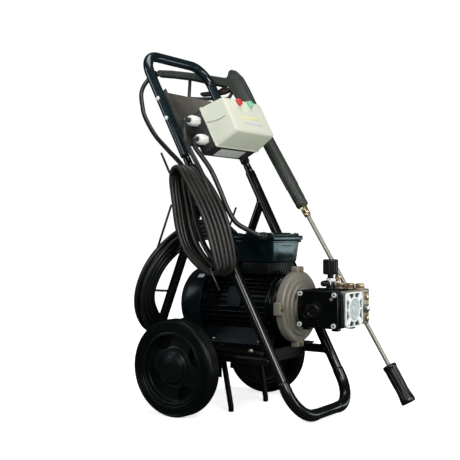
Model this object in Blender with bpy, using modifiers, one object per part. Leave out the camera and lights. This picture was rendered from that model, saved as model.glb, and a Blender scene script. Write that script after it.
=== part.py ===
"""Wheeled electric high-pressure washer: tubular trolley frame, flange-mounted
motor and plunger pump, starter box, spray gun with lance, hose and cable coils.

Metres, +Z up.  Every dimension is laid out from the floor under the middle of
the wheel axle; one empty then carries the whole machine, so that the origin is
on the floor in the middle of its bounding box.  The pump and the foot bar face
-Y, the lance hangs on the +X side; "left" is -X and "right" is +X.
"""
import math

import bmesh
import bpy
from mathutils import Matrix, Vector

# ---------------------------------------------------------------- driving dimensions
GAP = 0.0003             # between pieces that sit against each other
HOLE_CLEARANCE = 0.0006  # on the radius, round the axle and the buttons
SIDES = ((-1, "left"), (1, "right"))
MACHINE_SHIFT = (0.00457, 0.05052, 0.0)

RAIL_X = 0.1453          # half distance between the rail centres
RAIL_TILT = math.radians(62.3)
FOOT_Y, FOOT_Z = -0.3279, 0.014
FOOT_BAR = 0.0027        # along the rail, as are the next three
RAIL_TOP = 0.7520        # where the lower frame ends
HANDLE_START = 0.7550
HANDLE_TOP = 1.0872
FOOT_BEND_RADIUS = 0.078
TUBE_RADIUS = 0.0140
STRUT_RADIUS = 0.0125
STRUT_SLOPE = -0.406     # y gained per metre of height
STRUT_FLOOR_Y = 0.2011   # where the line of the struts meets the floor
BASE_RAIL_Z = 0.155

WHEEL_RADIUS, WHEEL_WIDTH = 0.127, 0.050
WHEEL_FACE_X = 0.2427
AXLE_RADIUS, AXLE_HALF = 0.010, 0.2305

PLATFORM_TOP = 0.1735
MOTOR_Z = 0.2827
HOUSING_Y = (-0.2000, 0.0100)
FLANGE_Y = (-0.2655, -0.2256)
FAN_COVER_REAR = 0.091

PUMP_X, PUMP_Y, PUMP_Z = (-0.060, 0.060), (-0.388, -0.273), (0.235, 0.331)
CASE_LEFT = -0.0480      # the crankcase starts here, its cover lies beyond
PLUNGER_Y = (-0.3160, -0.3450, -0.3735)
FITTING_Z = 0.3216       # seat of the caps and fittings on the manifold
UNLOADER_X, UNLOADER_Y = 0.090, -0.289

BUTTON_RADIUS = 0.0102
BUTTON_ALONG = 0.8475
GLAND_ALONG = {"upper": 0.8400, "lower": 0.7810}
GLAND_OUT = 0.050
CABLE_START_X = -0.1384
HOSE_RADIUS = 0.0070
CABLE_RADIUS = 0.0065

LANCE_TIP = Vector((0.190, -0.4729, 0.0220))
LANCE_STEP = Vector((0, 0.5247, 0.8513))     # per metre from the tip to the gun

# ---------------------------------------------------------------- scene and materials
for old in list(bpy.data.objects):
    bpy.data.objects.remove(old, do_unlink=True)

PARTS = bpy.data.collections.new("pressure_washer")
CUTTERS = bpy.data.collections.new("cutters")
bpy.context.scene.collection.children.link(PARTS)
bpy.context.scene.collection.children.link(CUTTERS)


def make_material(name, color, roughness, metallic):
    material = bpy.data.materials.new(name)
    material.use_nodes = True
    shader = material.node_tree.nodes["Principled BSDF"]
    shader.inputs["Base Color"].default_value = (*color, 1.0)
    shader.inputs["Roughness"].default_value = roughness
    shader.inputs["Metallic"].default_value = metallic
    return material


# key: (material name, base colour, roughness, metallic)
MATERIAL_TABLE = {
    "frame": ("frame_black_paint", (0.012, 0.014, 0.015), 0.25, 0.0),
    "handle": ("handle_teal_paint", (0.012, 0.045, 0.060), 0.25, 0.0),
    "plate": ("plate_black", (0.02, 0.02, 0.02), 0.45, 0.0),
    "steel": ("bright_steel", (0.62, 0.62, 0.60), 0.25, 1.0),
    "tyre": ("tyre_rubber", (0.030, 0.036, 0.034), 0.60, 0.0),
    "rim": ("wheel_plastic", (0.028, 0.034, 0.032), 0.45, 0.0),
    "rubber": ("rubber", (0.035, 0.037, 0.035), 0.60, 0.0),
    "motor": ("motor_black", (0.012, 0.014, 0.016), 0.30, 0.0),
    "core": ("laminated_steel", (0.30, 0.30, 0.31), 0.45, 1.0),
    "flange": ("cast_flange", (0.30, 0.27, 0.23), 0.50, 0.8),
    "box": ("terminal_plastic", (0.030, 0.042, 0.048), 0.25, 0.0),
    "pump": ("pump_black", (0.010, 0.011, 0.012), 0.30, 0.0),
    "glass": ("sight_glass", (0.05, 0.05, 0.045), 0.10, 0.0),
    "silver": ("bearing_cover_silver", (0.80, 0.82, 0.83), 0.35, 0.3),
    "brass": ("brass", (0.72, 0.52, 0.25), 0.30, 1.0),
    "knob": ("knob_black", (0.025, 0.028, 0.030), 0.45, 0.0),
    "cream": ("cover_cream", (0.78, 0.78, 0.68), 0.40, 0.0),
    "charcoal": ("base_charcoal", (0.06, 0.063, 0.063), 0.50, 0.0),
    "white": ("gland_white", (0.80, 0.80, 0.78), 0.40, 0.0),
    "red": ("stop_red", (0.75, 0.10, 0.08), 0.35, 0.0),
    "green": ("start_green", (0.25, 0.62, 0.42), 0.35, 0.0),
    "cable": ("cable_sheath", (0.050, 0.055, 0.050), 0.45, 0.0),
    "hose": ("hose_rubber", (0.040, 0.048, 0.044), 0.45, 0.0),
    "gun": ("gun_plastic", (0.055, 0.062, 0.058), 0.45, 0.0),
    "trigger": ("trigger_plastic", (0.20, 0.08, 0.06), 0.45, 0.0),
}
MATERIALS = {key: make_material(*entry) for key, entry in MATERIAL_TABLE.items()}


# ---------------------------------------------------------------- local frames
def frame_matrix(origin, x_axis, y_axis, z_axis):
    matrix = Matrix((Vector(x_axis), Vector(y_axis), Vector(z_axis))).transposed().to_4x4()
    matrix.translation = Vector(origin)
    return matrix


def axis_matrix(origin, direction):
    """A frame whose local Z points along the direction."""
    matrix = Vector(direction).to_track_quat("Z", "Y").to_matrix().to_4x4()
    matrix.translation = Vector(origin)
    return matrix


X, Y, Z = Vector((1, 0, 0)), Vector((0, 1, 0)), Vector((0, 0, 1))
RAIL_UP = Vector((0.0, math.cos(RAIL_TILT), math.sin(RAIL_TILT)))
RAIL_OUT = Vector((0.0, -math.sin(RAIL_TILT), math.cos(RAIL_TILT)))   # forwards and up
RAIL = frame_matrix((0.0, FOOT_Y, FOOT_Z), X, RAIL_UP, RAIL_OUT)
AXLE_LINE = axis_matrix((0, 0, WHEEL_RADIUS), X)
SHAFT_LINE = axis_matrix((0, 0, MOTOR_Z), Y)      # local Z runs backwards along the shaft


def rail(x, along, out=0.0):
    """A point from the plane of the rails: x across, along the rail, out of the plane."""
    return RAIL @ Vector((x, along, out))


def facing_front(x, y, z):
    """A frame with local XY upright across the machine and local Z forwards."""
    return frame_matrix((x, y, z), X, Z, -Y)


def strut_y(z):
    return STRUT_FLOOR_Y + STRUT_SLOPE * z


# ---------------------------------------------------------------- building solids
def finish(obj, material):
    obj.data.materials.clear()
    obj.data.materials.append(MATERIALS[material])
    PARTS.objects.link(obj)
    return obj


def from_bmesh(name, bm, material, matrix, smooth=False):
    mesh = bpy.data.meshes.new(name)
    bm.to_mesh(mesh)
    bm.free()
    if smooth:
        mesh.shade_smooth()
        mesh.set_sharp_from_angle(angle=math.radians(35))
    obj = bpy.data.objects.new(name, mesh)
    obj.matrix_world = matrix
    return finish(obj, material)


def cuboid(name, low, high, material, bevel=0.0, matrix=Matrix(), taper=None):
    """A box from corner low to corner high; taper = (x, y) scale of its top face."""
    bm = bmesh.new()
    bmesh.ops.create_cube(bm, size=1.0)
    low, high = Vector(low), Vector(high)
    middle = (low + high) / 2
    for v in bm.verts:
        top = v.co.z > 0
        v.co = Vector((low[i] + (v.co[i] + 0.5) * (high[i] - low[i]) for i in range(3)))
        if top and taper:
            v.co.x = middle.x + (v.co.x - middle.x) * taper[0]
            v.co.y = middle.y + (v.co.y - middle.y) * taper[1]
    if bevel:
        bmesh.ops.bevel(bm, geom=bm.edges[:], offset=bevel, segments=1, profile=0.5,
                        affect="EDGES")
    return from_bmesh(name, bm, material, matrix)


def cylinder(name, radius, start, end, matrix, material, sides=24, end_radius=None):
    """A cylinder, or a cone frustum, along local Z from start to end."""
    bm = bmesh.new()
    bmesh.ops.create_cone(bm, cap_ends=True, segments=sides, radius1=radius,
                          radius2=radius if end_radius is None else end_radius,
                          depth=end - start)
    bmesh.ops.translate(bm, verts=bm.verts[:], vec=(0, 0, (start + end) / 2))
    return from_bmesh(name, bm, material, matrix, smooth=True)


def lathe(name, profile, matrix, material, steps, closed=True):
    """Turns a profile of (radius, height) about local Z with a Screw modifier."""
    area = sum(a[0] * b[1] - b[0] * a[1] for a, b in zip(profile, profile[1:] + profile[:1]))
    points = profile if area < 0 else profile[::-1]     # the outer side runs top to bottom
    mesh = bpy.data.meshes.new(name)
    edges = [(i, i + 1) for i in range(len(points) - 1)]
    if closed:
        edges.append((len(points) - 1, 0))
    mesh.from_pydata([(radius, 0.0, height) for radius, height in points], edges, [])
    obj = bpy.data.objects.new(name, mesh)
    obj.matrix_world = matrix
    screw = obj.modifiers.new("turn", "SCREW")
    screw.axis = "Z"
    screw.angle = math.tau
    screw.steps = screw.render_steps = steps
    screw.use_merge_vertices = True
    screw.merge_threshold = 0.00002
    screw.use_smooth_shade = True
    return finish(obj, material)


def tube(name, points, radius, material, resolution, scales=None):
    """A round bar along the points; scales thins it point by point."""
    curve = bpy.data.curves.new(name, "CURVE")
    curve.dimensions = "3D"
    spline = curve.splines.new("POLY")
    spline.points.add(len(points) - 1)
    for i, point in enumerate(points):
        spline.points[i].co = (*point, 1.0)
        spline.points[i].radius = scales[i] if scales else 1.0
    curve.bevel_depth = radius
    curve.bevel_resolution = resolution
    curve.use_fill_caps = True
    return finish(bpy.data.objects.new(name, curve), material)


def prism(name, loops, half, matrix, material):
    """A flat outline, with holes as further loops, thickened by half each way along local Z."""
    curve = bpy.data.curves.new(name, "CURVE")
    curve.dimensions = "2D"
    curve.fill_mode = "BOTH"
    for loop in loops:
        spline = curve.splines.new("POLY")
        spline.points.add(len(loop) - 1)
        for i, (x, y) in enumerate(loop):
            spline.points[i].co = (x, y, 0.0, 1.0)
        spline.use_cyclic_u = True
    curve.extrude = half
    curve.bevel_resolution = 0
    obj = bpy.data.objects.new(name, curve)
    obj.matrix_world = matrix
    return finish(obj, material)


def as_mesh(obj):
    """The same shape as a mesh whose caps are welded, so that it can be cut or joined."""
    bpy.context.view_layer.update()
    graph = bpy.context.evaluated_depsgraph_get()
    mesh = bpy.data.meshes.new_from_object(obj.evaluated_get(graph))
    bm = bmesh.new()
    bm.from_mesh(mesh)
    bmesh.ops.remove_doubles(bm, verts=bm.verts[:], dist=0.00001)
    bmesh.ops.recalc_face_normals(bm, faces=bm.faces[:])
    bm.to_mesh(mesh)
    bm.free()
    name, material, matrix = obj.name, obj.data.materials[0], obj.matrix_world.copy()
    bpy.data.objects.remove(obj, do_unlink=True)
    mesh.materials.clear()
    mesh.materials.append(material)
    made = bpy.data.objects.new(name, mesh)
    made.matrix_world = matrix
    PARTS.objects.link(made)
    return made


def mesh_tube(*args, **options):
    return as_mesh(tube(*args, **options))


def boolean(target, helper, operation):
    """Combines the helper into the target and hides it among the cutters."""
    PARTS.objects.unlink(helper)
    CUTTERS.objects.link(helper)
    helper.hide_render = True
    helper.display_type = "WIRE"
    modifier = target.modifiers.new(operation.lower(), "BOOLEAN")
    modifier.operation = operation
    modifier.solver = "EXACT"
    modifier.object = helper


def join(target, helper):
    boolean(target, helper, "UNION")


def cut(target, helper):
    boolean(target, helper, "DIFFERENCE")


# ---------------------------------------------------------------- paths and outlines
def fillet(points, radius, steps):
    """A polyline whose inner corners are rounded to the radius."""
    points = [Vector(point) for point in points]
    out = [points[0]]
    for before, corner, after in zip(points, points[1:], points[2:]):
        back, ahead = (before - corner).normalized(), (after - corner).normalized()
        half = back.angle(ahead) / 2
        setback = radius / math.tan(half)
        centre = corner + (back + ahead).normalized() * (radius / math.sin(half))
        start = corner + back * setback - centre
        end = corner + ahead * setback - centre
        turn = start.angle(end)
        axis = start.cross(end).normalized()
        for i in range(steps + 1):
            out.append(centre + Matrix.Rotation(turn * i / steps, 3, axis) @ start)
    out.append(points[-1])
    return out


def smooth_path(points):
    """A Catmull-Rom curve through the points, two steps to a span."""
    knots = [Vector(point) for point in points]
    knots = [2 * knots[0] - knots[1]] + knots + [2 * knots[-1] - knots[-2]]
    out = []
    for a, b, c, d in zip(knots, knots[1:], knots[2:], knots[3:]):
        for t in (0.0, 0.5):
            out.append(0.5 * ((2 * b) + (c - a) * t + (2 * a - 5 * b + 4 * c - d) * t * t
                              + (3 * b - a - 3 * c + d) * t ** 3))
    out.append(knots[-2])
    return out


def polar(radius, angle):
    return radius * math.cos(angle), radius * math.sin(angle)


def circle(radius, count, centre_x=0.0, centre_y=0.0, radius_y=None):
    radius_y = radius if radius_y is None else radius_y
    angles = [math.tau * i / count for i in range(count)]
    return [(centre_x + radius * math.cos(a), centre_y + radius_y * math.sin(a)) for a in angles]


def racetrack(half_length, half_width, steps=8):
    flat = half_length - half_width
    angles = [math.pi * (i / steps - 0.5) for i in range(steps + 1)]
    right = [(flat + half_width * math.cos(a), half_width * math.sin(a)) for a in angles]
    return right + [(-x, -y) for x, y in right]


def rectangle(x, y, half_x, half_y):
    return [(x - half_x, y - half_y), (x + half_x, y - half_y),
            (x + half_x, y + half_y), (x - half_x, y + half_y)]


def rounded_rectangle(half_x, half_y, radius, steps=3):
    out = []
    for quarter, (way_x, way_y) in enumerate(((1, 1), (-1, 1), (-1, -1), (1, -1))):
        for i in range(steps + 1):
            x, y = polar(radius, math.radians(90 * quarter + 90 * i / steps))
            out.append((way_x * (half_x - radius) + x, way_y * (half_y - radius) + y))
    return out


def ring(inner, outer, start, end):
    """The lathe profile of a plain ring."""
    return [(inner, start), (outer, start), (outer, end), (inner, end)]


# ---------------------------------------------------------------- frame
def rail_loop(ends, crossing, radius, steps):
    """Up or down both rails from ends, and across at crossing."""
    corners = [rail(-RAIL_X, ends), rail(-RAIL_X, crossing),
               rail(RAIL_X, crossing), rail(RAIL_X, ends)]
    return fillet(corners, radius, steps)


def main_frame():
    neck = (RAIL_TOP, 0.728, 0.722)      # the tube narrows between the last two
    bends = rail_loop(RAIL_TOP, FOOT_BAR, FOOT_BEND_RADIUS, 6)
    path = ([rail(-RAIL_X, along) for along in neck] + bends[1:-1]
            + [rail(RAIL_X, along) for along in reversed(neck)])
    scales = [0.78] * 2 + [1.0] * (len(path) - 4) + [0.78] * 2
    frame = mesh_tube("main_frame", path, TUBE_RADIUS, "frame", 4, scales)
    for side, tag in SIDES:
        x = side * RAIL_X
        add_rear_loop(frame, x, tag)
        saddle = cuboid("axle_saddle_" + tag,
                        (x - 0.009, -0.016, WHEEL_RADIUS + AXLE_RADIUS + GAP),
                        (x + 0.009, 0.016, BASE_RAIL_Z - 0.004), "frame")
        join(frame, saddle)
        add_hose_hook(frame, side, tag)
    add_cable_hooks(frame)


def add_rear_loop(frame, x, tag):
    """A strut down from the rail, bent forwards into a level base rail."""
    strut_top = 0.5761
    top = Vector((x, strut_y(strut_top), strut_top))
    corner = Vector((x, strut_y(BASE_RAIL_Z), BASE_RAIL_Z))
    front = rail(x, (BASE_RAIL_Z - FOOT_Z) / math.sin(RAIL_TILT))
    front.z = BASE_RAIL_Z
    path = fillet([top, corner, front], 0.055, 5)
    join(frame, mesh_tube("rear_loop_" + tag, path, STRUT_RADIUS, "frame", 3))


def add_hose_hook(frame, side, tag):
    hook_x, low, high = side * 0.155, 0.320, 0.553
    path = [(side * RAIL_X, strut_y(low), low), (hook_x, strut_y(low) + 0.022, low),
            (hook_x, strut_y(low) + 0.0900, low), (hook_x, strut_y(high) + 0.0884, high)]
    join(frame, mesh_tube("hose_hook_" + tag, fillet(path, 0.008, 2), 0.0032, "frame", 2))


def add_cable_hooks(frame):
    hook_x, reach = -0.2480, 0.062
    for along, way, tag in ((0.6957, 1, "upper"), (0.4235, -1, "lower")):
        path = [rail(-RAIL_X, along), rail(hook_x, along), rail(hook_x, along + way * reach)]
        join(frame, mesh_tube("cable_hook_" + tag, fillet(path, 0.008, 2), 0.0035, "frame", 2))


def handle_loop():
    path = rail_loop(HANDLE_START, HANDLE_TOP, 0.066, 7)
    tube("handle_loop", path, TUBE_RADIUS, "handle", 4)


def foot_sleeves():
    """Rubber sleeves round the two lower bends."""
    for side, tag in SIDES:
        def bend(upper, inner_x):
            corners = [rail(side * RAIL_X, upper), rail(side * RAIL_X, FOOT_BAR),
                       rail(side * inner_x, FOOT_BAR)]
            return fillet(corners, FOOT_BEND_RADIUS, 6)

        sleeve = mesh_tube("foot_sleeve_" + tag, bend(0.1050, 0.052), 0.0164, "rubber", 3)
        cut(sleeve, mesh_tube("sleeve_bore_" + tag, bend(0.1300, 0.030), 0.0150, "rubber", 3))


def motor_platform():
    platform = cuboid("motor_platform", (-0.150, -0.205, 0.1680), (0.150, -0.015, PLATFORM_TOP),
                      "plate", bevel=0.0012)
    inside = 0.1700      # the lip and cheeks run up to here, inside the plate
    join(platform, cuboid("platform_lip", (-0.100, -0.2043, 0.1400), (0.100, -0.2010, inside),
                          "plate"))
    cheek_x, cheek_half = 0.075, 0.0016
    for side, tag in SIDES:
        x = side * cheek_x
        join(platform, cuboid("axle_cheek_" + tag, (x - cheek_half, -0.0450, 0.0860),
                              (x + cheek_half, 0.0300, inside), "plate"))
    cut(platform, cylinder("axle_clearance", AXLE_RADIUS + HOLE_CLEARANCE, -0.100, 0.100,
                           AXLE_LINE, "plate", sides=20))


def prop_stand():
    half, foot_y, top_y, ankle, top = 0.086, -0.0836, -0.0545, 0.012, 0.1590
    arch = [(-half, foot_y, ankle), (-half, top_y, top), (half, top_y, top), (half, foot_y, ankle)]
    path = [Vector((-half, foot_y, 0.0))] + fillet(arch, 0.018, 3) + [Vector((half, foot_y, 0.0))]
    tube("prop_stand", path, 0.0075, "frame", 4)


def control_panel():
    """A channel-shaped panel between the handle tubes, its lips turned forwards."""
    web, lip, wall = 0.1275, 0.0160, 0.002
    channel = [(-web, lip), (-web, -wall), (web, -wall), (web, lip),
               (web - wall, lip), (web - wall, 0.0), (-web + wall, 0.0), (-web + wall, lip)]
    prism("control_panel", [channel], 0.0865,
          frame_matrix(rail(0, 0.8790), X, RAIL_OUT, -RAIL_UP), "plate")


# ---------------------------------------------------------------- wheels
# (radius, distance out from the wheel's inner face)
TYRE_PROFILE = [
    (0.0965, 0.005), (0.104, 0.0005), (0.120, 0.0010), (0.127, 0.010),
    (0.127, 0.040), (0.120, 0.0490), (0.104, 0.0495), (0.0965, 0.045)]
DISC_PROFILE = [
    (0.0106, 0.002), (0.030, 0.002), (0.032, 0.024), (0.088, 0.024), (0.088, 0.004),
    (0.0958, 0.004), (0.0958, 0.046), (0.0885, 0.0465), (0.0885, 0.031), (0.040, 0.033),
    (0.034, 0.038), (0.0106, 0.038)]
CAP_PROFILE = [
    (0.0, 0.0385), (0.033, 0.0385), (0.037, 0.0395), (0.0372, 0.0425), (0.030, 0.0462),
    (0.0, 0.0480)]


def wheel(side, tag):
    inner_x = WHEEL_FACE_X - WHEEL_WIDTH
    hub = axis_matrix((side * inner_x, 0, WHEEL_RADIUS), (side, 0, 0))
    lathe("tyre_" + tag, TYRE_PROFILE, hub, "tyre", 32)
    disc = lathe("wheel_disc_" + tag, DISC_PROFILE, hub, "rim", 24)
    windows, window_radius = 4, 0.0690
    for k in range(windows):     # blind pockets, their floor 3.5 mm thick
        angle = math.radians(27 + 360 * k / windows)
        out = Vector((0, -math.cos(angle), math.sin(angle)))
        along = Vector((0, math.sin(angle), math.cos(angle)))
        centre = Vector((side * (inner_x + 0.0455), 0, WHEEL_RADIUS)) + out * window_radius
        pocket = cylinder(f"window_{tag}_{k}", 1.0, -0.018, 0.018,
                          frame_matrix(centre, out, along, out.cross(along)), "rim", sides=12)
        pocket.data.transform(Matrix.Diagonal((0.0130, 0.0290, 1.0, 1.0)))   # oval half axes
        cut(disc, pocket)
    lathe("hub_cap_" + tag, CAP_PROFILE, hub, "rim", 24, closed=False)


def axle():
    cylinder("axle", AXLE_RADIUS, -AXLE_HALF, AXLE_HALF, AXLE_LINE, "steel", sides=20)


# ---------------------------------------------------------------- motor
SHAFT_BORE = 0.01235     # in the rotor and the fan
SHIELD_BORE = 0.0135     # in the end shields and the flange
BEARING_POCKET = 0.0263
SHIELD_FRONT, SHIELD_REAR = HOUSING_Y[0] - GAP, HOUSING_Y[1] + GAP


def motor_housing():
    outline = []
    fins, root, tip = 21, 0.083, 0.094
    root_half, tip_half = 0.055, 0.022       # half widths as angles
    for k in range(fins):
        angle = math.radians(-33 + 246 * k / (fins - 1))
        outline += [polar(root, angle - root_half), polar(tip, angle - tip_half),
                    polar(tip, angle + tip_half), polar(root, angle + root_half)]
    foot = PLATFORM_TOP + 0.0004 - MOTOR_Z
    foot_top = foot + 0.012
    outline += [(-0.098, foot_top), (-0.098, foot), (-0.052, foot), (-0.044, -0.082),
                (0.0, -0.0865), (0.044, -0.082), (0.052, foot), (0.098, foot), (0.098, foot_top)]
    prism("motor_housing", [outline, circle(0.0760, 28)], (HOUSING_Y[1] - HOUSING_Y[0]) / 2,
          facing_front(0, sum(HOUSING_Y) / 2, MOTOR_Z), "motor")


def motor_inside():
    lathe("stator_core", ring(0.0462, 0.0752, -0.165, -0.035), SHAFT_LINE, "core", 28)
    lathe("rotor_core", ring(SHAFT_BORE, 0.0455, -0.162, -0.038), SHAFT_LINE, "core", 24)
    cylinder("motor_shaft", 0.0118, -0.2620, 0.0400, SHAFT_LINE, "steel", sides=24)
    for tag, start, end in (("front", -0.2175, -0.2035), ("rear", -0.0045, 0.0103)):
        lathe(tag + "_bearing", ring(0.0124, 0.0259, start, end), SHAFT_LINE, "steel", 24)


def end_shields():
    rear = [(SHIELD_BORE, 0.018), (SHIELD_BORE, 0.0110), (BEARING_POCKET, 0.0110),
            (BEARING_POCKET, -0.006), (0.034, -0.006), (0.034, SHIELD_REAR),
            (0.0962, SHIELD_REAR), (0.0962, 0.018)]
    lathe("rear_end_shield", rear, SHAFT_LINE, "motor", 28)
    front = [(0.0860, SHIELD_FRONT), (0.0860, -0.2120), (0.0780, -0.2252),
             (SHIELD_BORE, -0.2252), (SHIELD_BORE, -0.2180), (BEARING_POCKET, -0.2180),
             (BEARING_POCKET, SHIELD_FRONT)]
    lathe("front_end_shield", front, SHAFT_LINE, "motor", 28)


def cooling_fan():
    outline = []
    blades, root, tip = 8, 0.028, 0.080
    root_half, tip_half = 0.20, 0.035        # half widths as angles
    for k in range(blades):
        angle = math.tau * k / blades
        outline += [polar(root, angle - root_half), polar(tip, angle - tip_half),
                    polar(tip, angle + tip_half), polar(root, angle + root_half)]
    prism("cooling_fan", [outline, circle(SHAFT_BORE, 24)], 0.008,
          facing_front(0, 0.031, MOTOR_Z), "knob")


def fan_cover():
    rear, rim = FAN_COVER_REAR, 0.0108
    outside = [(0.1000, rim), (0.1000, rear - 0.030), (0.0950, rear - 0.013),
               (0.080, rear - 0.002), (0.060, rear), (0.014, rear)]
    inside = [(0.014, rear - 0.0025), (0.060, rear - 0.0025), (0.078, rear - 0.0045),
              (0.0925, rear - 0.015), (0.0974, rear - 0.031), (0.0974, rim)]
    lathe("fan_cover", outside + inside, SHAFT_LINE, "motor", 28)


def motor_flange():
    """The stepped adapter between motor and pump, with four ears."""
    front, back = FLANGE_Y
    profile = [(0.0900, back), (0.0936, -0.2290), (0.0936, -0.2460), (0.0900, -0.2500),
               (0.0770, -0.2500), (0.0750, -0.2545), (0.0630, -0.2545), (0.0610, -0.2595),
               (0.0500, -0.2595), (0.0480, front), (SHIELD_BORE, front), (SHIELD_BORE, back)]
    adapter = as_mesh(lathe("motor_flange", profile, SHAFT_LINE, "flange", 28))
    for k in range(4):
        x, z = polar(0.0935, math.radians(90 * k))
        ear = frame_matrix((x, 0, MOTOR_Z + z), X, -Z, Y)
        join(adapter, cylinder(f"flange_ear_{k}", 0.0125, -0.2485, -0.2275, ear, "flange",
                               sides=14))


def terminal_box():
    top, waist, middle_y, narrowing = 0.4580, 0.42, -0.1465, 0.90
    pedestal = cuboid("terminal_pedestal", (-0.045, -0.190, MOTOR_Z + 0.0945),
                      (0.045, -0.103, 0.404), "box")
    box = cuboid("terminal_box", (-0.070, -0.205, 0.398), (0.070, -0.088, top), "box")
    for vertex in box.data.vertices:     # narrow the bottom
        if vertex.co.z < waist:
            vertex.co.x *= narrowing
            vertex.co.y = middle_y + (vertex.co.y - middle_y) * narrowing
    join(box, pedestal)
    cut(box, cuboid("terminal_cavity", (-0.059, -0.194, 0.4010), (0.059, -0.099, 0.4700), "box"))
    cuboid("terminal_lid", (-0.0755, -0.2115, top + GAP), (0.0755, -0.0815, 0.4780), "box",
           bevel=0.004, taper=(0.95, 0.94))


# ---------------------------------------------------------------- pump
def pump_body():
    case = cuboid("crankcase", (CASE_LEFT, PUMP_Y[0], PUMP_Z[0]),
                  (PUMP_X[1], PUMP_Y[1], PUMP_Z[1]), "pump", bevel=0.004)
    join(case, cylinder("crankcase_boss", 0.0400, -0.2750, -0.2660, SHAFT_LINE, "pump", sides=28))
    join(case, cuboid("crankcase_front", (-0.0430, -0.3965, 0.2395), (0.0540, -0.3800, 0.3285),
                      "pump", bevel=0.006))
    cut(case, cuboid("crank_cavity", (-0.060, -0.3815, 0.243), (0.045, -0.280, 0.323), "pump"))
    for tag, radius, start, end in (("rear", 0.0105, -0.290, -0.255),
                                    ("front", 0.0300, -0.405, -0.370)):
        cut(case, cylinder(f"crank_{tag}_bore", radius, start, end, SHAFT_LINE, "pump", sides=24))
    manifold = cuboid("pump_manifold", (PUMP_X[1] + GAP, -0.3900, 0.2365),
                      (0.1270, -0.2750, 0.3212), "flange", bevel=0.004)
    bore, plunger = 0.0078, 0.0070
    for k, y in enumerate(PLUNGER_Y):
        way = axis_matrix((0, y, MOTOR_Z), X)
        cut(case, cylinder(f"cylinder_bore_{k}", bore, 0.035, 0.068, way, "pump", sides=16))
        cut(manifold, cylinder(f"manifold_bore_{k}", bore, 0.050, 0.090, way, "pump", sides=16))
        cylinder(f"plunger_{k + 1}", plunger, 0.0225, 0.0860, way, "steel", sides=14)
        cylinder(f"valve_cap_{k + 1}", 0.0140, FITTING_Z, 0.3437,
                 Matrix.Translation((0.0955, y, 0)), "brass", sides=6)


def crankcase_cover():
    inset = 0.0005
    cover = cuboid("crankcase_cover", (PUMP_X[0], PUMP_Y[0] + inset, PUMP_Z[0] + inset),
                   (CASE_LEFT - GAP, PUMP_Y[1] - inset, PUMP_Z[1] - inset), "pump", bevel=0.003)
    way = axis_matrix((0, -0.318, 0.2775), -X)
    cut(cover, cylinder("glass_hole", 0.0120, 0.045, 0.065, way, "pump", sides=20))
    glass = [(0.0, 0.0520), (0.0116, 0.0520), (0.0116, 0.0603), (0.0200, 0.0603),
             (0.0200, 0.0630), (0.0150, 0.0645), (0.0, 0.0645)]
    lathe("oil_sight_glass", glass, way, "glass", 20, closed=False)


def crankshaft():
    crank = cylinder("crankshaft", 0.0095, -0.3865, -0.2626, SHAFT_LINE, "steel", sides=16)
    throw, half_width = 0.005, 0.005
    for k, y in enumerate(PLUNGER_Y):
        x, z = polar(throw, math.tau * k / len(PLUNGER_Y))
        join(crank, cylinder(f"eccentric_{k}", 0.0160, y - half_width, y + half_width,
                             axis_matrix((x, 0, MOTOR_Z + z), Y), "steel", sides=14))


def front_bearing_cover():
    """A rounded plate on the pump's front, two slots along each edge."""
    long, short = 0.0085, 0.0028     # half sizes of a slot
    slots = [rectangle(x, side * 0.0385, long, short) for side in (1, -1) for x in (-0.018, 0.018)]
    slots += [rectangle(side * 0.0430, y, short, long) for side in (1, -1) for y in (-0.016, 0.016)]
    prism("front_bearing_cover", [rounded_rectangle(0.0505, 0.0460, 0.012)] + slots, 0.0032,
          facing_front(0.0055, -0.4002, 0.2840), "silver")


# (radius, z) of the turned pieces that stand on the manifold
UNLOADER_PROFILE = [
    (0.0, FITTING_Z), (0.0125, FITTING_Z), (0.0125, 0.3370), (0.0110, 0.3380),
    (0.0110, 0.3460), (0.0145, 0.3470), (0.0145, 0.3540), (0.0085, 0.3550),
    (0.0085, 0.3647), (0.0, 0.3647)]
KNOB_PROFILE = [
    (0.0, 0.3650), (0.0180, 0.3650), (0.0207, 0.3690), (0.0207, 0.4035), (0.0185, 0.4065),
    (0.0, 0.4065)]
OUTLET_PROFILE = [
    (0.0, FITTING_Z), (0.0095, FITTING_Z), (0.0095, 0.3420), (0.0070, 0.3440),
    (0.0070, 0.3500), (0.0088, 0.3510), (0.0088, 0.3620), (0.0060, 0.3645), (0.0, 0.3645)]


def pump_fittings():
    stand = Matrix.Translation((UNLOADER_X, UNLOADER_Y, 0))
    body = as_mesh(lathe("unloader_body", UNLOADER_PROFILE, stand, "brass", 20, closed=False))
    port_way = axis_matrix((UNLOADER_X, UNLOADER_Y, 0.3422), -X)
    join(body, cylinder("unloader_port", 0.0072, 0.004, 0.047, port_way, "brass", sides=16))
    lathe("regulator_knob", KNOB_PROFILE, stand, "knob", 28, closed=False)
    lathe("outlet_fitting", OUTLET_PROFILE, Matrix.Translation((0.1145, -0.2980, 0)), "brass", 16,
          closed=False)
    cylinder("inlet_fitting", 0.0110, 0.3903, 0.4000, axis_matrix((0.0950, 0, 0.2780), -Y),
             "steel", sides=6)


# ---------------------------------------------------------------- starter box on the handle
def switch_base():
    """The open tray, in rail coordinates (x, along, out), with the contactor inside."""
    floor = 0.0250
    base = cuboid("switch_base", (-0.1010, 0.7480, 0.0220), (0.1010, 0.8664, 0.0725), "charcoal",
                  bevel=0.003, matrix=RAIL)
    join(base, cuboid("switch_base_stem", (-0.060, 0.7950, GAP), (0.060, 0.8450, 0.0235),
                      "charcoal", matrix=RAIL))
    cut(base, cuboid("switch_base_hollow", (-0.0975, 0.7515, floor), (0.0975, 0.8629, 0.0800),
                     "charcoal", matrix=RAIL))
    cuboid("contactor", (-0.035, 0.772, floor + GAP), (0.035, 0.842, 0.0680), "charcoal",
           matrix=RAIL)


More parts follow.
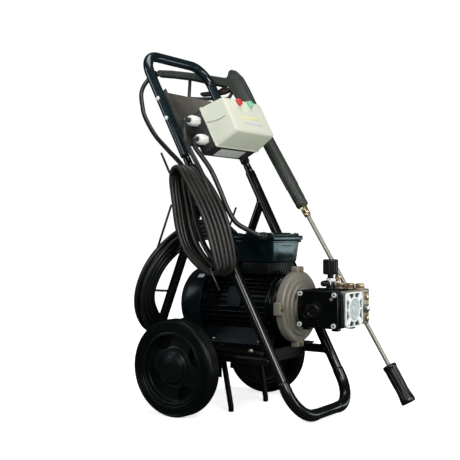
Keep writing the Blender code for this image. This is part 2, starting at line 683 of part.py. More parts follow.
# left, right, bottom and top of the starter cover, in x and along the rail
COVER_FACE = (-0.0880, 0.0980, 0.7550, 0.8620)
COVER_RIM = (-0.1030, 0.1060, 0.7460, 0.8685)


def cover_solid(name, inset, low, high):
    """The tapered box of the starter cover, shrunk by inset for its inner face."""
    bm = bmesh.new()
    bmesh.ops.create_cube(bm, size=1.0)
    for v in bm.verts:
        front = v.co.z > 0
        left, right, bottom, top = COVER_FACE if front else COVER_RIM
        v.co.x = left + inset if v.co.x < 0 else right - inset
        v.co.y = bottom + inset if v.co.y < 0 else top - inset
        v.co.z = high if front else low
    upper = [e for e in bm.edges if max(v.co.z for v in e.verts) > (low + high) / 2]
    bmesh.ops.bevel(bm, geom=upper, offset=0.008, segments=3, profile=0.5, affect="EDGES")
    return from_bmesh(name, bm, "cream", RAIL, smooth=True)


def switch_cover():
    face, wall = 0.1480, 0.0030
    shell = cover_solid("switch_cover", 0.0, 0.0730, face)
    cut(shell, cover_solid("switch_cover_hollow", wall, 0.0650, face - wall))
    for name, x, color in (("stop_button", -0.0260, "red"), ("start_button", 0.0290, "green")):
        way = frame_matrix(rail(x, BUTTON_ALONG), X, RAIL_UP, RAIL_OUT)
        cut(shell, cylinder("hole_" + name, BUTTON_RADIUS + HOLE_CLEARANCE, 0.130, 0.160, way,
                            "cream", sides=20))
        cylinder(name, BUTTON_RADIUS, 0.1380, 0.1590, way, color, sides=20)


def cable_glands():
    profile = [(0.0, 0.1013), (0.0140, 0.1013), (0.0140, 0.1120), (0.0125, 0.1130),
               (0.0125, 0.1330), (0.0095, 0.1370), (0.0, 0.1370)]
    for tag, along in GLAND_ALONG.items():
        lathe("cable_gland_" + tag, profile, axis_matrix(rail(0, along, GLAND_OUT), -X), "white",
              16, closed=False)


# ---------------------------------------------------------------- cables and hose
def gland_exit(tag, third):
    """The first points of a cable: out of its gland, then offset by third."""
    start = rail(CABLE_START_X, GLAND_ALONG[tag], GLAND_OUT)
    return [start, start - X * 0.004, start + Vector(third)]


# (x, y, z) points, each path running on from its first end
POWER_LEAD = [
    (-0.168, 0.012, 0.752), (-0.167, 0.008, 0.724), (-0.169, -0.010, 0.695),
    (-0.176, -0.037, 0.660), (-0.180, -0.063, 0.620), (-0.181, -0.081, 0.585)]
MOTOR_LEAD = [
    (-0.150, -0.014, 0.706), (-0.144, -0.034, 0.680), (-0.136, -0.060, 0.643),
    (-0.130, -0.085, 0.590), (-0.127, -0.105, 0.543), (-0.123, -0.128, 0.505),
    (-0.110, -0.158, 0.483), (-0.094, -0.183, 0.4695), (-0.0765, -0.184, 0.4685)]
HOSE_FROM_GUN = [
    (0.0800, 0.3650, 0.9270), (0.0600, 0.3562, 0.9030), (0.0200, 0.3060, 0.8270),
    (-0.0150, 0.2380, 0.7650), (-0.0500, 0.1611, 0.7145), (-0.0850, 0.0800, 0.6600),
    (-0.1030, 0.0450, 0.6000), (-0.0980, 0.0400, 0.5350), (-0.0850, 0.0455, 0.4900)]
HOSE_FROM_PUMP = [
    (0.1120, -0.2744, 0.3050), (0.1130, -0.2500, 0.3070), (0.1150, -0.2000, 0.3120),
    (0.1150, -0.0500, 0.3120), (0.1150, 0.0400, 0.3100), (0.1180, 0.0850, 0.2950),
    (0.1150, 0.1200, 0.2700), (0.1080, 0.1458, 0.2470)]


def power_cable():
    """The oblong coil on the cable hooks, with the lead down from the upper gland."""
    sway = math.radians(3.0)
    coil_up = RAIL_UP * math.cos(sway) + RAIL_OUT * math.sin(sway)
    coil_out = RAIL_OUT * math.cos(sway) - RAIL_UP * math.sin(sway)
    coil = as_mesh(prism("power_cable", [racetrack(0.1555, 0.0470), racetrack(0.1440, 0.0260)],
                         0.0360, frame_matrix(rail(-0.1980, 0.5596, 0.005), coil_up, coil_out, X),
                         "cable"))
    path = smooth_path(gland_exit("upper", (-0.020, -0.001, -0.004)) + POWER_LEAD)
    join(coil, mesh_tube("power_lead", path, CABLE_RADIUS, "cable", 2))


def motor_cable():
    path = smooth_path(gland_exit("lower", (-0.011, 0.001, -0.004)) + MOTOR_LEAD)
    tube("motor_cable", path, CABLE_RADIUS, "cable", 2)


def pressure_hose():
    """The oval coil behind the struts, with its runs to the gun and the pump."""
    lean = Vector((0, STRUT_SLOPE, 1.0)).normalized()
    coil_z = 0.3430
    centre = (0, strut_y(coil_z) + 0.045, coil_z)
    coil = [circle(0.236, 32, radius_y=0.185), circle(0.172, 24, radius_y=0.125)]
    hose = as_mesh(prism("pressure_hose", coil, 0.0170,
                         frame_matrix(centre, X, lean, X.cross(lean)), "hose"))
    gun_end = [gun(0.2490, 0.2072), gun(0.2506, 0.2104), gun(0.2530, 0.2260), gun(0.2450, 0.2440)]
    for name, points in (("hose_to_gun", gun_end + HOSE_FROM_GUN),
                         ("hose_to_pump", HOSE_FROM_PUMP)):
        join(hose, mesh_tube(name, smooth_path(points), HOSE_RADIUS, "hose", 2))


# ---------------------------------------------------------------- spray gun and lance
BARREL = LANCE_STEP.normalized()
GRIP_WAY = Vector((-0.0643, 0.290, 0.012))
GUN_ACROSS = (GRIP_WAY - GRIP_WAY.project(BARREL)).normalized()
GUN = frame_matrix(LANCE_TIP + LANCE_STEP, BARREL, GUN_ACROSS, BARREL.cross(GUN_ACROSS))
LANCE_LINE = axis_matrix(LANCE_TIP, BARREL)

# (along the barrel, across towards the grip) in the gun's plane
GUN_OUTLINE = [
    (-0.060, -0.0200), (-0.034, -0.0225), (0.028, -0.0262), (0.075, -0.0260),
    (0.100, -0.0195), (0.1125, -0.0080), (0.1125, 0.0020), (0.101, 0.0110),
    (0.0985, 0.0185), (0.1410, 0.0640), (0.1845, 0.1122), (0.2240, 0.1585),
    (0.2560, 0.2010), (0.2390, 0.2105), (0.2030, 0.1660), (0.1662, 0.1235),
    (0.1190, 0.0770), (0.0710, 0.0300), (0.0450, 0.0235), (-0.030, 0.0215), (-0.060, 0.0200)]
GUARD_CORNERS = [
    (0.1680, 0.1225), (0.1152, 0.1535), (0.0930, 0.1235), (0.0400, 0.0430), (0.0560, 0.0160)]
TRIGGER_PIVOT = (0.0680, 0.0270)
TRIGGER_OUTLINE = [
    (0.0620, 0.0200), (0.0720, 0.0200), (0.0800, 0.0360), (0.0810, 0.0630),
    (0.1040, 0.1040), (0.1065, 0.1130), (0.1005, 0.1160), (0.0940, 0.1110),
    (0.0700, 0.0700), (0.0600, 0.0480), (0.0570, 0.0280)]
# (radius, distance from the lance tip)
NOZZLE_PROFILE = [
    (0.0068, 0.0080), (0.0068, 0.1130), (0.0165, 0.1130), (0.0185, 0.1080), (0.0165, 0.0900),
    (0.0162, 0.0450), (0.0200, 0.0150), (0.0205, 0.0030), (0.0150, 0.0000), (0.0110, 0.0060)]


def gun(along, across):
    return GUN @ Vector((along, across, 0.0))


def gun_body():
    body = as_mesh(prism("gun_body", [GUN_OUTLINE], 0.0130, GUN, "gun"))
    guard = fillet([gun(*corner) for corner in GUARD_CORNERS], 0.008, 3)
    join(body, mesh_tube("trigger_guard", guard, 0.0052, "gun", 2))
    cut(body, cuboid("trigger_slot", (0.0490, 0.0130, -0.0086), (0.0900, 0.0750, 0.0086), "gun",
                     matrix=GUN))


def trigger():
    """Its origin lies at the pivot."""
    pivot_along, pivot_across = TRIGGER_PIVOT
    matrix = GUN.copy()
    matrix.translation = gun(*TRIGGER_PIVOT)
    outline = [(along - pivot_along, across - pivot_across) for along, across in TRIGGER_OUTLINE]
    prism("trigger", [outline], 0.0080, matrix, "trigger")


def lance():
    cylinder("lance_grip", 0.0180, 0.6245, 0.9390, LANCE_LINE, "gun", end_radius=0.0198)
    cylinder("lance_nut", 0.0115, 0.5915, 0.6240, LANCE_LINE, "brass", sides=6)
    cylinder("lance_tube", 0.0060, 0.0300, 0.5910, LANCE_LINE, "steel", sides=16)
    lathe("nozzle_sleeve", NOZZLE_PROFILE, LANCE_LINE, "rubber", 16)


def lance_holder():
    """A plate spanning two round holes: round the lance grip and round the handle tube."""
    grip, clamp = Vector((0.0, 0.0)), Vector((-0.0447, 0.0701))
    outline = []
    for k in range(24):      # the outer hull of two discs
        way = Vector(polar(1.0, math.tau * k / 24))
        near, far = grip + way * 0.0250, clamp + way * 0.0170
        outline.append(tuple(near if near.dot(way) > far.dot(way) else far))
    prism("lance_holder", [outline, circle(0.0203, 20), circle(0.0147, 20, *clamp)], 0.0030,
          frame_matrix(LANCE_TIP + LANCE_STEP * 0.9022, X, BARREL.cross(X), BARREL), "plate")


# ---------------------------------------------------------------- the whole machine
def carry_on_empty():
    washer = bpy.data.objects.new("pressure_washer", None)
    washer.empty_display_size = 0.2
    bpy.context.scene.collection.objects.link(washer)
    for obj in list(PARTS.objects) + list(CUTTERS.objects):
        obj.parent = washer
    washer.location = MACHINE_SHIFT


main_frame()
handle_loop()
foot_sleeves()
motor_platform()
axle()
prop_stand()
control_panel()
for wheel_side, wheel_tag in SIDES:
    wheel(wheel_side, wheel_tag)
motor_housing()
motor_inside()
end_shields()
cooling_fan()
fan_cover()
motor_flange()
terminal_box()
pump_body()
crankcase_cover()
crankshaft()
front_bearing_cover()
pump_fittings()
switch_base()
switch_cover()
cable_glands()
power_cable()
motor_cable()
pressure_hose()
gun_body()
trigger()
lance()
lance_holder()
carry_on_empty()
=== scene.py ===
"""Electric pressure washer on a two-wheeled trolley.

Metres, Z up. The axle runs along X above the origin, the pump is at the front (-Y), the
rails lean to the back (+Y) as they rise, and "left" is -X. Pieces are built in this frame
and moved by CARRY into the frame of the CAD when they become objects.
"""

import math
import random

import bmesh
import bpy
from mathutils import Matrix, Vector, noise


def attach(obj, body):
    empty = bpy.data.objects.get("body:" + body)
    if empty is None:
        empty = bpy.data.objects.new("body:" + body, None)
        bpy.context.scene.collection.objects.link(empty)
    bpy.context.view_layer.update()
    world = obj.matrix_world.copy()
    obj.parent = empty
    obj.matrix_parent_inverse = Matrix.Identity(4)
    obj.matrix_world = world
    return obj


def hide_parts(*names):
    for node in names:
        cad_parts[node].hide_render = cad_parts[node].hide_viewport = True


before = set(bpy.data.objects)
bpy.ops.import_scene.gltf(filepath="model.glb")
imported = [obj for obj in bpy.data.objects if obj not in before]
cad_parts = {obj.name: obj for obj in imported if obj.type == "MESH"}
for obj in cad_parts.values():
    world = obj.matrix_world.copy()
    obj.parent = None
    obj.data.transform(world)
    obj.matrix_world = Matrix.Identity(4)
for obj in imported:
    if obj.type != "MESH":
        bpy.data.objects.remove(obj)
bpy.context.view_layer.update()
random.seed(7)

# ---------------------------------------------------------------- shared dimensions
X, Y, Z = Vector((1, 0, 0)), Vector((0, 1, 0)), Vector((0, 0, 1))
SIDES = ((-1, "left"), (1, "right"))
CARRY = Vector((0.00457, 0.05052, 0))  # from under the axle to the middle of the bounding box

RAIL_X, RAIL_TILT = 0.1453, math.radians(62.3)
TUBE_R, STRUT_R, ROD_R = 0.014, 0.0125, 0.0032
RAIL_BEND = 0.078
ALONG = Vector((0, math.cos(RAIL_TILT), math.sin(RAIL_TILT)))  # up the rail
OFF = Vector((0, -math.sin(RAIL_TILT), math.cos(RAIL_TILT)))   # off the rail, front and up
FOOT = Vector((0, -0.3279, 0.014))
FOOT_S, RAIL_TOP, HANDLE_START, HANDLE_TOP = 0.0027, 0.752, 0.755, 1.0872  # along the rail
BASE_Z, PLATE_TOP = 0.155, 0.1735

STRUT_SLOPE = -0.406                   # change of y per metre of height
STRUT_WAY = Vector((0, STRUT_SLOPE, 1)).normalized()

WHEEL_R, WHEEL_W, WHEEL_FACE = 0.127, 0.05, 0.2427
WHEEL_INNER = WHEEL_FACE - WHEEL_W
MOTOR_Z = 0.2827


def frame_matrix(origin, x, y, z):
    matrix = Matrix((Vector(x), Vector(y), Vector(z))).transposed().to_4x4()
    matrix.translation = Vector(origin)
    return matrix


def axis_matrix(origin, direction):
    """Local z along a direction."""
    matrix = Vector(direction).to_track_quat("Z", "Y").to_matrix().to_4x4()
    matrix.translation = Vector(origin)
    return matrix


def facing_front(x, y, z):
    """Local x to the right, y up, z to the front."""
    return frame_matrix((x, y, z), X, Z, -Y)


def at(x, y, z=0):
    return Matrix.Translation((x, y, z))


RAIL = frame_matrix(FOOT, X, ALONG, OFF)
SHAFT = axis_matrix((0, 0, MOTOR_Z), Y)  # heights on it are y


def rail(x, along, off=0):
    return RAIL @ Vector((x, along, off))


def rail_matrix(x, along, off=0):
    return RAIL @ at(x, along, off)


def strut_y(z):
    return 0.2011 + STRUT_SLOPE * z


# ---------------------------------------------------------------- materials
def add_node(tree, kind, sockets=None, **settings):
    """Adds a shader node; sockets holds values, or output sockets to link from."""
    node = tree.nodes.new("ShaderNode" + kind)
    for key, value in settings.items():
        setattr(node, key, value)
    for key, value in (sockets or {}).items():
        if isinstance(value, bpy.types.NodeSocket):
            tree.links.new(value, node.inputs[key])
        else:
            node.inputs[key].default_value = value
    return node


def add_ramp(tree, factor, stops):
    ramp = add_node(tree, "ValToRGB", {"Fac": factor})
    for element, (position, color) in zip(ramp.color_ramp.elements, stops):
        element.position, element.color = position, (*color, 1)
    return ramp.outputs["Color"]


def multiply(tree, first, second):
    return add_node(tree, "Math", {0: first, 1: second}, operation="MULTIPLY").outputs["Value"]


def mix_color(tree, factor, first, second, blend="MIX"):
    mix = add_node(tree, "Mix", data_type="RGBA", blend_type=blend)
    for key, value in (("Factor", factor), ("A", first), ("B", second)):
        if isinstance(value, bpy.types.NodeSocket):
            tree.links.new(value, mix.inputs[key])
        else:
            mix.inputs[key].default_value = value
    return mix.outputs["Result"]


def surface(name, base, rough, metal=0, coat=0, coat_rough=0.08, spec=0.5, rough_spread=0.08,
            tint=None, spread=0.22, patch=22, grain=650, stretch=None, fine=1, bump=0.1,
            wear=None, wear_amount=0.5, dust=0):
    """A procedural paint, metal or rubber.

    Colour runs in patches (scale patch) from darkened base to lightened tint, by spread.
    Grain (its scale, stretched by stretch) flecks the colour by fine and drives the bump.
    Wear is the colour of worn edges, dust the amount on faces that look up.
    """
    material = bpy.data.materials.new(name)
    material.use_nodes = True
    tree = material.node_tree
    shader = tree.nodes["Principled BSDF"]
    place = add_node(tree, "TexCoord").outputs["Object"]
    grain_place = place
    if stretch:
        mapping = add_node(tree, "Mapping", {"Vector": place, "Scale": stretch})
        grain_place = mapping.outputs["Vector"]
    patches = add_node(tree, "TexNoise", {
        "Vector": place, "Scale": patch, "Detail": 6, "Roughness": 0.62}).outputs["Fac"]
    grains = add_node(tree, "TexNoise", {
        "Vector": grain_place, "Scale": grain, "Detail": 4}).outputs["Fac"]
    low = [c * (1 - spread) for c in base]
    high = [min(1.0, c * (1 + spread)) for c in (tint or base)]
    color = add_ramp(tree, patches, ((0.32, low), (0.68, high)))
    grey = add_ramp(tree, grains, ((0.38, (0.3, 0.3, 0.3)), (0.62, (0.72, 0.72, 0.72))))
    color = mix_color(tree, 0.18 * fine, color, grey, "OVERLAY")
    if wear or dust:
        geometry = add_node(tree, "NewGeometry")
    if wear:
        edge = add_node(tree, "MapRange", {
            "Value": geometry.outputs["Pointiness"], "From Min": 0.53, "From Max": 0.62})
        worn = multiply(tree, edge.outputs["Result"], patches)
        color = mix_color(tree, multiply(tree, worn, wear_amount), color, (*wear, 1))
    if dust:
        normal = add_node(tree, "SeparateXYZ", {"Vector": geometry.outputs["Normal"]})
        upward = add_node(tree, "MapRange", {
            "Value": normal.outputs["Z"], "From Min": 0.3, "From Max": 1, "To Max": dust})
        dusty = multiply(tree, upward.outputs["Result"], patches)
        color = mix_color(tree, dusty, color, (0.34, 0.34, 0.31, 1))
    roughness = add_node(tree, "MapRange", {
        "Value": patches, "To Min": max(0.03, rough - rough_spread),
        "To Max": min(1.0, rough + rough_spread)})
    relief = add_node(tree, "Bump", {"Height": grains, "Strength": bump, "Distance": 0.0006})
    tree.links.new(color, shader.inputs["Base Color"])
    tree.links.new(roughness.outputs["Result"], shader.inputs["Roughness"])
    tree.links.new(relief.outputs["Normal"], shader.inputs["Normal"])
    for key, value in (("Metallic", metal), ("Specular IOR Level", spec),
                       ("Coat Weight", coat), ("Coat Roughness", coat_rough)):
        shader.inputs[key].default_value = value
    return material


MATERIALS = {
    "frame": surface(
        "frame_gloss_black", base=(0.0018, 0.0022, 0.002), rough=0.22, coat=0.3, bump=0,
        grain=260, spread=0.1, rough_spread=0.02, spec=0.36),
    "handle": surface(
        "handle_teal_gloss", base=(0.0034, 0.0095, 0.0125), rough=0.22, coat=0.35, bump=0.03,
        grain=260, tint=(0.0042, 0.0125, 0.0175), wear=(0.012, 0.02, 0.025)),
    "plate": surface(
        "plate_black_paint", base=(0.002, 0.0024, 0.0023), rough=0.42, bump=0.05, grain=420,
        spread=0.15, dust=0.012, spec=0.16),
    "panel": surface(
        "panel_grey_paint", base=(0.046, 0.042, 0.036), rough=0.38, grain=420,
        wear=(0.3, 0.3, 0.29), dust=0.1),
    "steel": surface(
        "steel_bright", base=(0.62, 0.62, 0.6), rough=0.22, metal=1, bump=0.12, grain=300,
        spread=0.1, stretch=(1, 1, 0.15)),
    "lance": surface(
        "lance_steel", base=(0.33, 0.32, 0.27), rough=0.42, metal=0.45, bump=0, grain=260,
        spread=0.03, patch=60, fine=0.2, rough_spread=0.03),
    "zinc": surface(
        "bolt_zinc", base=(0.5, 0.51, 0.48), rough=0.34, metal=1, bump=0.2, grain=900,
        spread=0.15, tint=(0.72, 0.68, 0.52)),
    "tyre": surface(
        "tyre_rubber_ribbed", base=(0.0011, 0.0022, 0.0017), rough=0.34, bump=0.08, grain=900,
        tint=(0.0014, 0.0027, 0.0021), dust=0.002, wear=(0.006, 0.01, 0.009),
        wear_amount=0.3, spec=0.2),
    "rim": surface(
        "rim_moulded_plastic", base=(0.0014, 0.0026, 0.0024), rough=0.34, bump=0.06,
        grain=1100, tint=(0.002, 0.0036, 0.0036), wear=(0.006, 0.01, 0.01),
        wear_amount=0.35, spec=0.27),
    "rubber": surface(
        "rubber_dull", base=(0.0026, 0.0031, 0.0027), rough=0.23, coat=0.22, bump=0.03,
        grain=1000, spread=0.12, rough_spread=0.03, spec=0.36),
    "motor": surface(
        "motor_gloss_black", base=(0.001, 0.0015, 0.002), rough=0.27, coat=0.08, bump=0.06,
        grain=380, wear=(0.007, 0.009, 0.011), dust=0.003, spec=0.19),
    "fancover": surface(
        "fan_cover_gloss", base=(0.001, 0.0038, 0.0056), rough=0.34, coat=0.12, bump=0.03,
        grain=240, tint=(0.0014, 0.0056, 0.0085), wear=(0.006, 0.012, 0.014), spec=0.3,
        coat_rough=0.22),
    "core": surface(
        "core_laminated", base=(0.3, 0.3, 0.31), rough=0.45, metal=1, bump=0.5, grain=500,
        stretch=(0.05, 6, 0.05)),
    "flange": surface(
        "flange_cast_aluminium", base=(0.205, 0.19, 0.158), rough=0.5, metal=0.3, bump=0.35,
        grain=520, spread=0.1, tint=(0.225, 0.208, 0.172), wear=(0.36, 0.34, 0.29)),
    "manifold": surface(
        "manifold_cast_brass", base=(0.3, 0.28, 0.22), rough=0.42, metal=0.75, bump=0.35,
        grain=520, spread=0.12, tint=(0.36, 0.31, 0.23), wear=(0.52, 0.44, 0.32)),
    "box": surface(
        "terminal_box_gloss", base=(0.001, 0.0024, 0.0029), rough=0.24, coat=0.05, bump=0.03,
        grain=300, wear=(0.01, 0.02, 0.022), tint=(0.0014, 0.0036, 0.0044), spec=0.62),
    "pump": surface(
        "pump_gloss_black", base=(0.0008, 0.0012, 0.0012), rough=0.24, coat=0.1, bump=0.06,
        grain=460, wear=(0.008, 0.01, 0.01), spec=0.2),
    "collar": surface(
        "pump_collar_teal_black", base=(0.0024, 0.0072, 0.008), rough=0.28, coat=0.4,
        grain=460, wear=(0.02, 0.03, 0.03)),
    "glass": surface(
        "sight_glass_dark", base=(0.0026, 0.0025, 0.0023), rough=0.3, bump=0.02, grain=200,
        spec=0.26),
    "dial": surface(
        "dial_mottled_grey", base=(0.52, 0.57, 0.58), rough=0.4, metal=0.25, bump=0.5,
        grain=420, spread=0.3, patch=240, fine=2),
    "cap_metal": surface(
        "cap_dull_brass", base=(0.2, 0.2, 0.17), rough=0.34, metal=0.85, bump=0.14, grain=700,
        spread=0.25, patch=60, tint=(0.46, 0.33, 0.17)),
    "silver": surface(
        "silver_white_paint", base=(0.86, 0.89, 0.9), rough=0.38, metal=0.05, bump=0.2,
        grain=700, spread=0.05, wear=(0.97, 0.98, 0.99)),
    "screw": surface(
        "screw_pale", base=(0.58, 0.61, 0.62), rough=0.38, metal=0.15, bump=0.15, grain=700,
        spread=0.06),
    "brass": surface(
        "brass_machined", base=(0.72, 0.53, 0.28), rough=0.27, metal=1, bump=0.14, grain=700,
        spread=0.1, tint=(0.8, 0.62, 0.38)),
    "grip": surface(
        "grip_rubber", base=(0.0046, 0.0056, 0.005), rough=0.3, coat=0.1, grain=1000,
        wear=(0.018, 0.02, 0.019), spec=0.36),
    "knob": surface(
        "knob_matte_black", base=(0.0042, 0.006, 0.0062), rough=0.34, bump=0.18, grain=1000,
        wear=(0.03, 0.035, 0.035), spec=0.4),
    "cream": surface(
        "cover_ivory", base=(0.69, 0.7, 0.585), rough=0.36, grain=1300, spread=0.025, patch=9,
        wear=(0.88, 0.88, 0.82), wear_amount=0.6, fine=0.15, rough_spread=0.05),
    "charcoal": surface(
        "base_charcoal", base=(0.024, 0.025, 0.023), rough=0.44, bump=0.25, grain=1200,
        wear=(0.14, 0.14, 0.14)),
    "white": surface(
        "gland_off_white", base=(0.8, 0.8, 0.77), rough=0.36, grain=1100, spread=0.03,
        fine=0.2),
    "line": surface(
        "cover_line_shadow", base=(0.2, 0.2, 0.16), rough=0.5, bump=0.05, grain=900,
        spread=0.05),
    "label": surface(
        "blank_label_paper", base=(0.66, 0.68, 0.66), rough=0.5, bump=0.08, grain=1600,
        spread=0.03, fine=0.2),
    "red": surface(
        "button_red", base=(0.62, 0.05, 0.04), rough=0.28, coat=0.4, bump=0.05, grain=900,
        spread=0.06, fine=0.3),
    "green": surface(
        "button_mint", base=(0.24, 0.62, 0.42), rough=0.28, coat=0.4, bump=0.05, grain=900,
        spread=0.06, fine=0.3),
    "yellow": surface(
        "strip_pale_yellow", base=(0.8, 0.74, 0.34), rough=0.42, bump=0.05, grain=900,
        spread=0.05, fine=0.3),
    "lilac": surface(
        "strip_grey_blue", base=(0.56, 0.58, 0.66), rough=0.42, bump=0.05, grain=900,
        spread=0.05, fine=0.3),
    "cable": surface(
        "cable_sheath", base=(0.006, 0.0072, 0.0052), rough=0.36, bump=0.05, grain=800,
        patch=14, tint=(0.015, 0.0142, 0.0098), spec=0.42),
    "cable_side": surface(
        "cable_sheath_lead", base=(0.011, 0.013, 0.0115), rough=0.36, grain=800, spread=0.2),
    "hose": surface(
        "hose_rubber", base=(0.005, 0.0066, 0.0052), rough=0.4, bump=0.16, grain=900,
        tint=(0.0066, 0.0084, 0.0068), spec=0.45),
    "gun": surface(
        "gun_plastic", base=(0.031, 0.037, 0.03), rough=0.4, bump=0.16, grain=1300,
        spread=0.12, wear=(0.09, 0.1, 0.09)),
    "trigger": surface(
        "trigger_plastic", base=(0.026, 0.0085, 0.0065), rough=0.34, bump=0.12, grain=1100,
        spread=0.12),
    "plate_name": surface(
        "blank_nameplate", base=(0.003, 0.009, 0.016), rough=0.55, bump=0.3, grain=500,
        spread=0.6, patch=180, spec=0.2),
    # a matt near-black: painted shade in the screw sockets of the pump lid and behind the
    # openings of the bearing cover; also the colour of the lance grip screws
    "dark_screws_and_shade": surface("dark_screws_and_painted_shade", base=(0.006, 0.006, 0.006), rough=0.6),
}

# teal highlights on the terminal box
MATERIALS["box"].node_tree.nodes["Principled BSDF"].inputs[
    "Specular Tint"].default_value = (0.52, 0.88, 0.94, 1)


def paint_light_gradient(material, axis, start, end, gain):
    """Paints light into a material: makes its colour lighter along one axis of the object."""
    tree = material.node_tree
    base_color = tree.nodes["Principled BSDF"].inputs["Base Color"]
    place = add_node(tree, "TexCoord").outputs["Object"]
    parts = add_node(tree, "SeparateXYZ", {"Vector": place})
    way = add_node(tree, "MapRange", {
        "Value": parts.outputs[axis], "From Min": start, "From Max": end,
        "To Min": 1, "To Max": gain})
    scale = add_node(tree, "VectorMath", {
        "Vector": base_color.links[0].from_socket, "Scale": way.outputs["Result"]},
        operation="SCALE")
    tree.links.new(scale.outputs["Vector"], base_color)


# painted light: the control panel is made lighter towards its right side (+X)
paint_light_gradient(MATERIALS["panel"], axis="X", start=-0.1, end=0.06, gain=2.6)


# ---------------------------------------------------------------- paths and outlines
def fillet(points, radius, steps, clamp=True):
    """Rounds the corners of a path; clamp keeps each bend within half of its sides."""
    points = [Vector(p) for p in points]
    out = [points[0]]
    for before, corner, after in zip(points, points[1:], points[2:]):
        back_way, on_way = (before - corner).normalized(), (after - corner).normalized()
        half = back_way.angle(on_way) / 2
        if half > math.radians(89):
            out.append(corner)
            continue
        back = radius / math.tan(half)
        if clamp:
            back = min(back, 0.48 * (before - corner).length, 0.48 * (after - corner).length)
        bend = back * math.tan(half)
        centre = corner + (back_way + on_way).normalized() * (bend / math.sin(half))
        start, end = corner + back_way * back - centre, corner + on_way * back - centre
        turn, axis = start.angle(end), start.cross(end).normalized()
        for i in range(steps + 1):
            out.append(centre + Matrix.Rotation(turn * i / steps, 3, axis) @ start)
    out.append(points[-1])
    return out


def smooth_path(points, steps=8):
    """A Catmull-Rom curve through the points."""
    p = [Vector(q) for q in points]
    p = [2 * p[0] - p[1]] + p + [2 * p[-1] - p[-2]]
    out = []
    for a, b, c, d in zip(p, p[1:], p[2:], p[3:]):
        for i in range(steps):
            t = i / steps
            out.append(0.5 * ((2 * b) + (c - a) * t + (2 * a - 5 * b + 4 * c - d) * t * t
                              + (3 * b - a - 3 * c + d) * t ** 3))
    out.append(p[-2])
    return out


def soft(profile, radius, steps=3, closed=False):
    """Rounds the corners of a flat outline, such as a (radius, height) profile."""
    points = [Vector((p[0], 0, p[1])) for p in profile]
    if closed:
        middle = (points[0] + points[-1]) / 2
        return [(q.x, q.z) for q in fillet([middle] + points + [middle], radius, steps)[:-1]]
    return [(max(q.x, 0.0), q.z) for q in fillet(points, radius, steps)]


def polar(radius, angle):
    return radius * math.cos(angle), radius * math.sin(angle)


def arc(radius, start, end, steps):
    return [polar(radius, start + (end - start) * i / steps) for i in range(steps + 1)]


def circle(radius, sides):
    return [polar(radius, math.tau * i / sides) for i in range(sides)]


def rounded(x0, x1, y0, y1, radius, steps=6):
    """A rectangle with round corners."""
    out = []
    for cx, cy, start in ((x1 - radius, y1 - radius, 0), (x0 + radius, y1 - radius, 90),
                          (x0 + radius, y0 + radius, 180), (x1 - radius, y0 + radius, 270)):
        for x, y in arc(radius, math.radians(start), math.radians(start + 90), steps):
            out.append((cx + x, cy + y))
    return out


# ---------------------------------------------------------------- mesh building
def bevel_edges(part, edges, offset, segments):
    bmesh.ops.bevel(part, geom=edges, offset=offset, segments=segments, profile=0.5,
                    affect="EDGES")


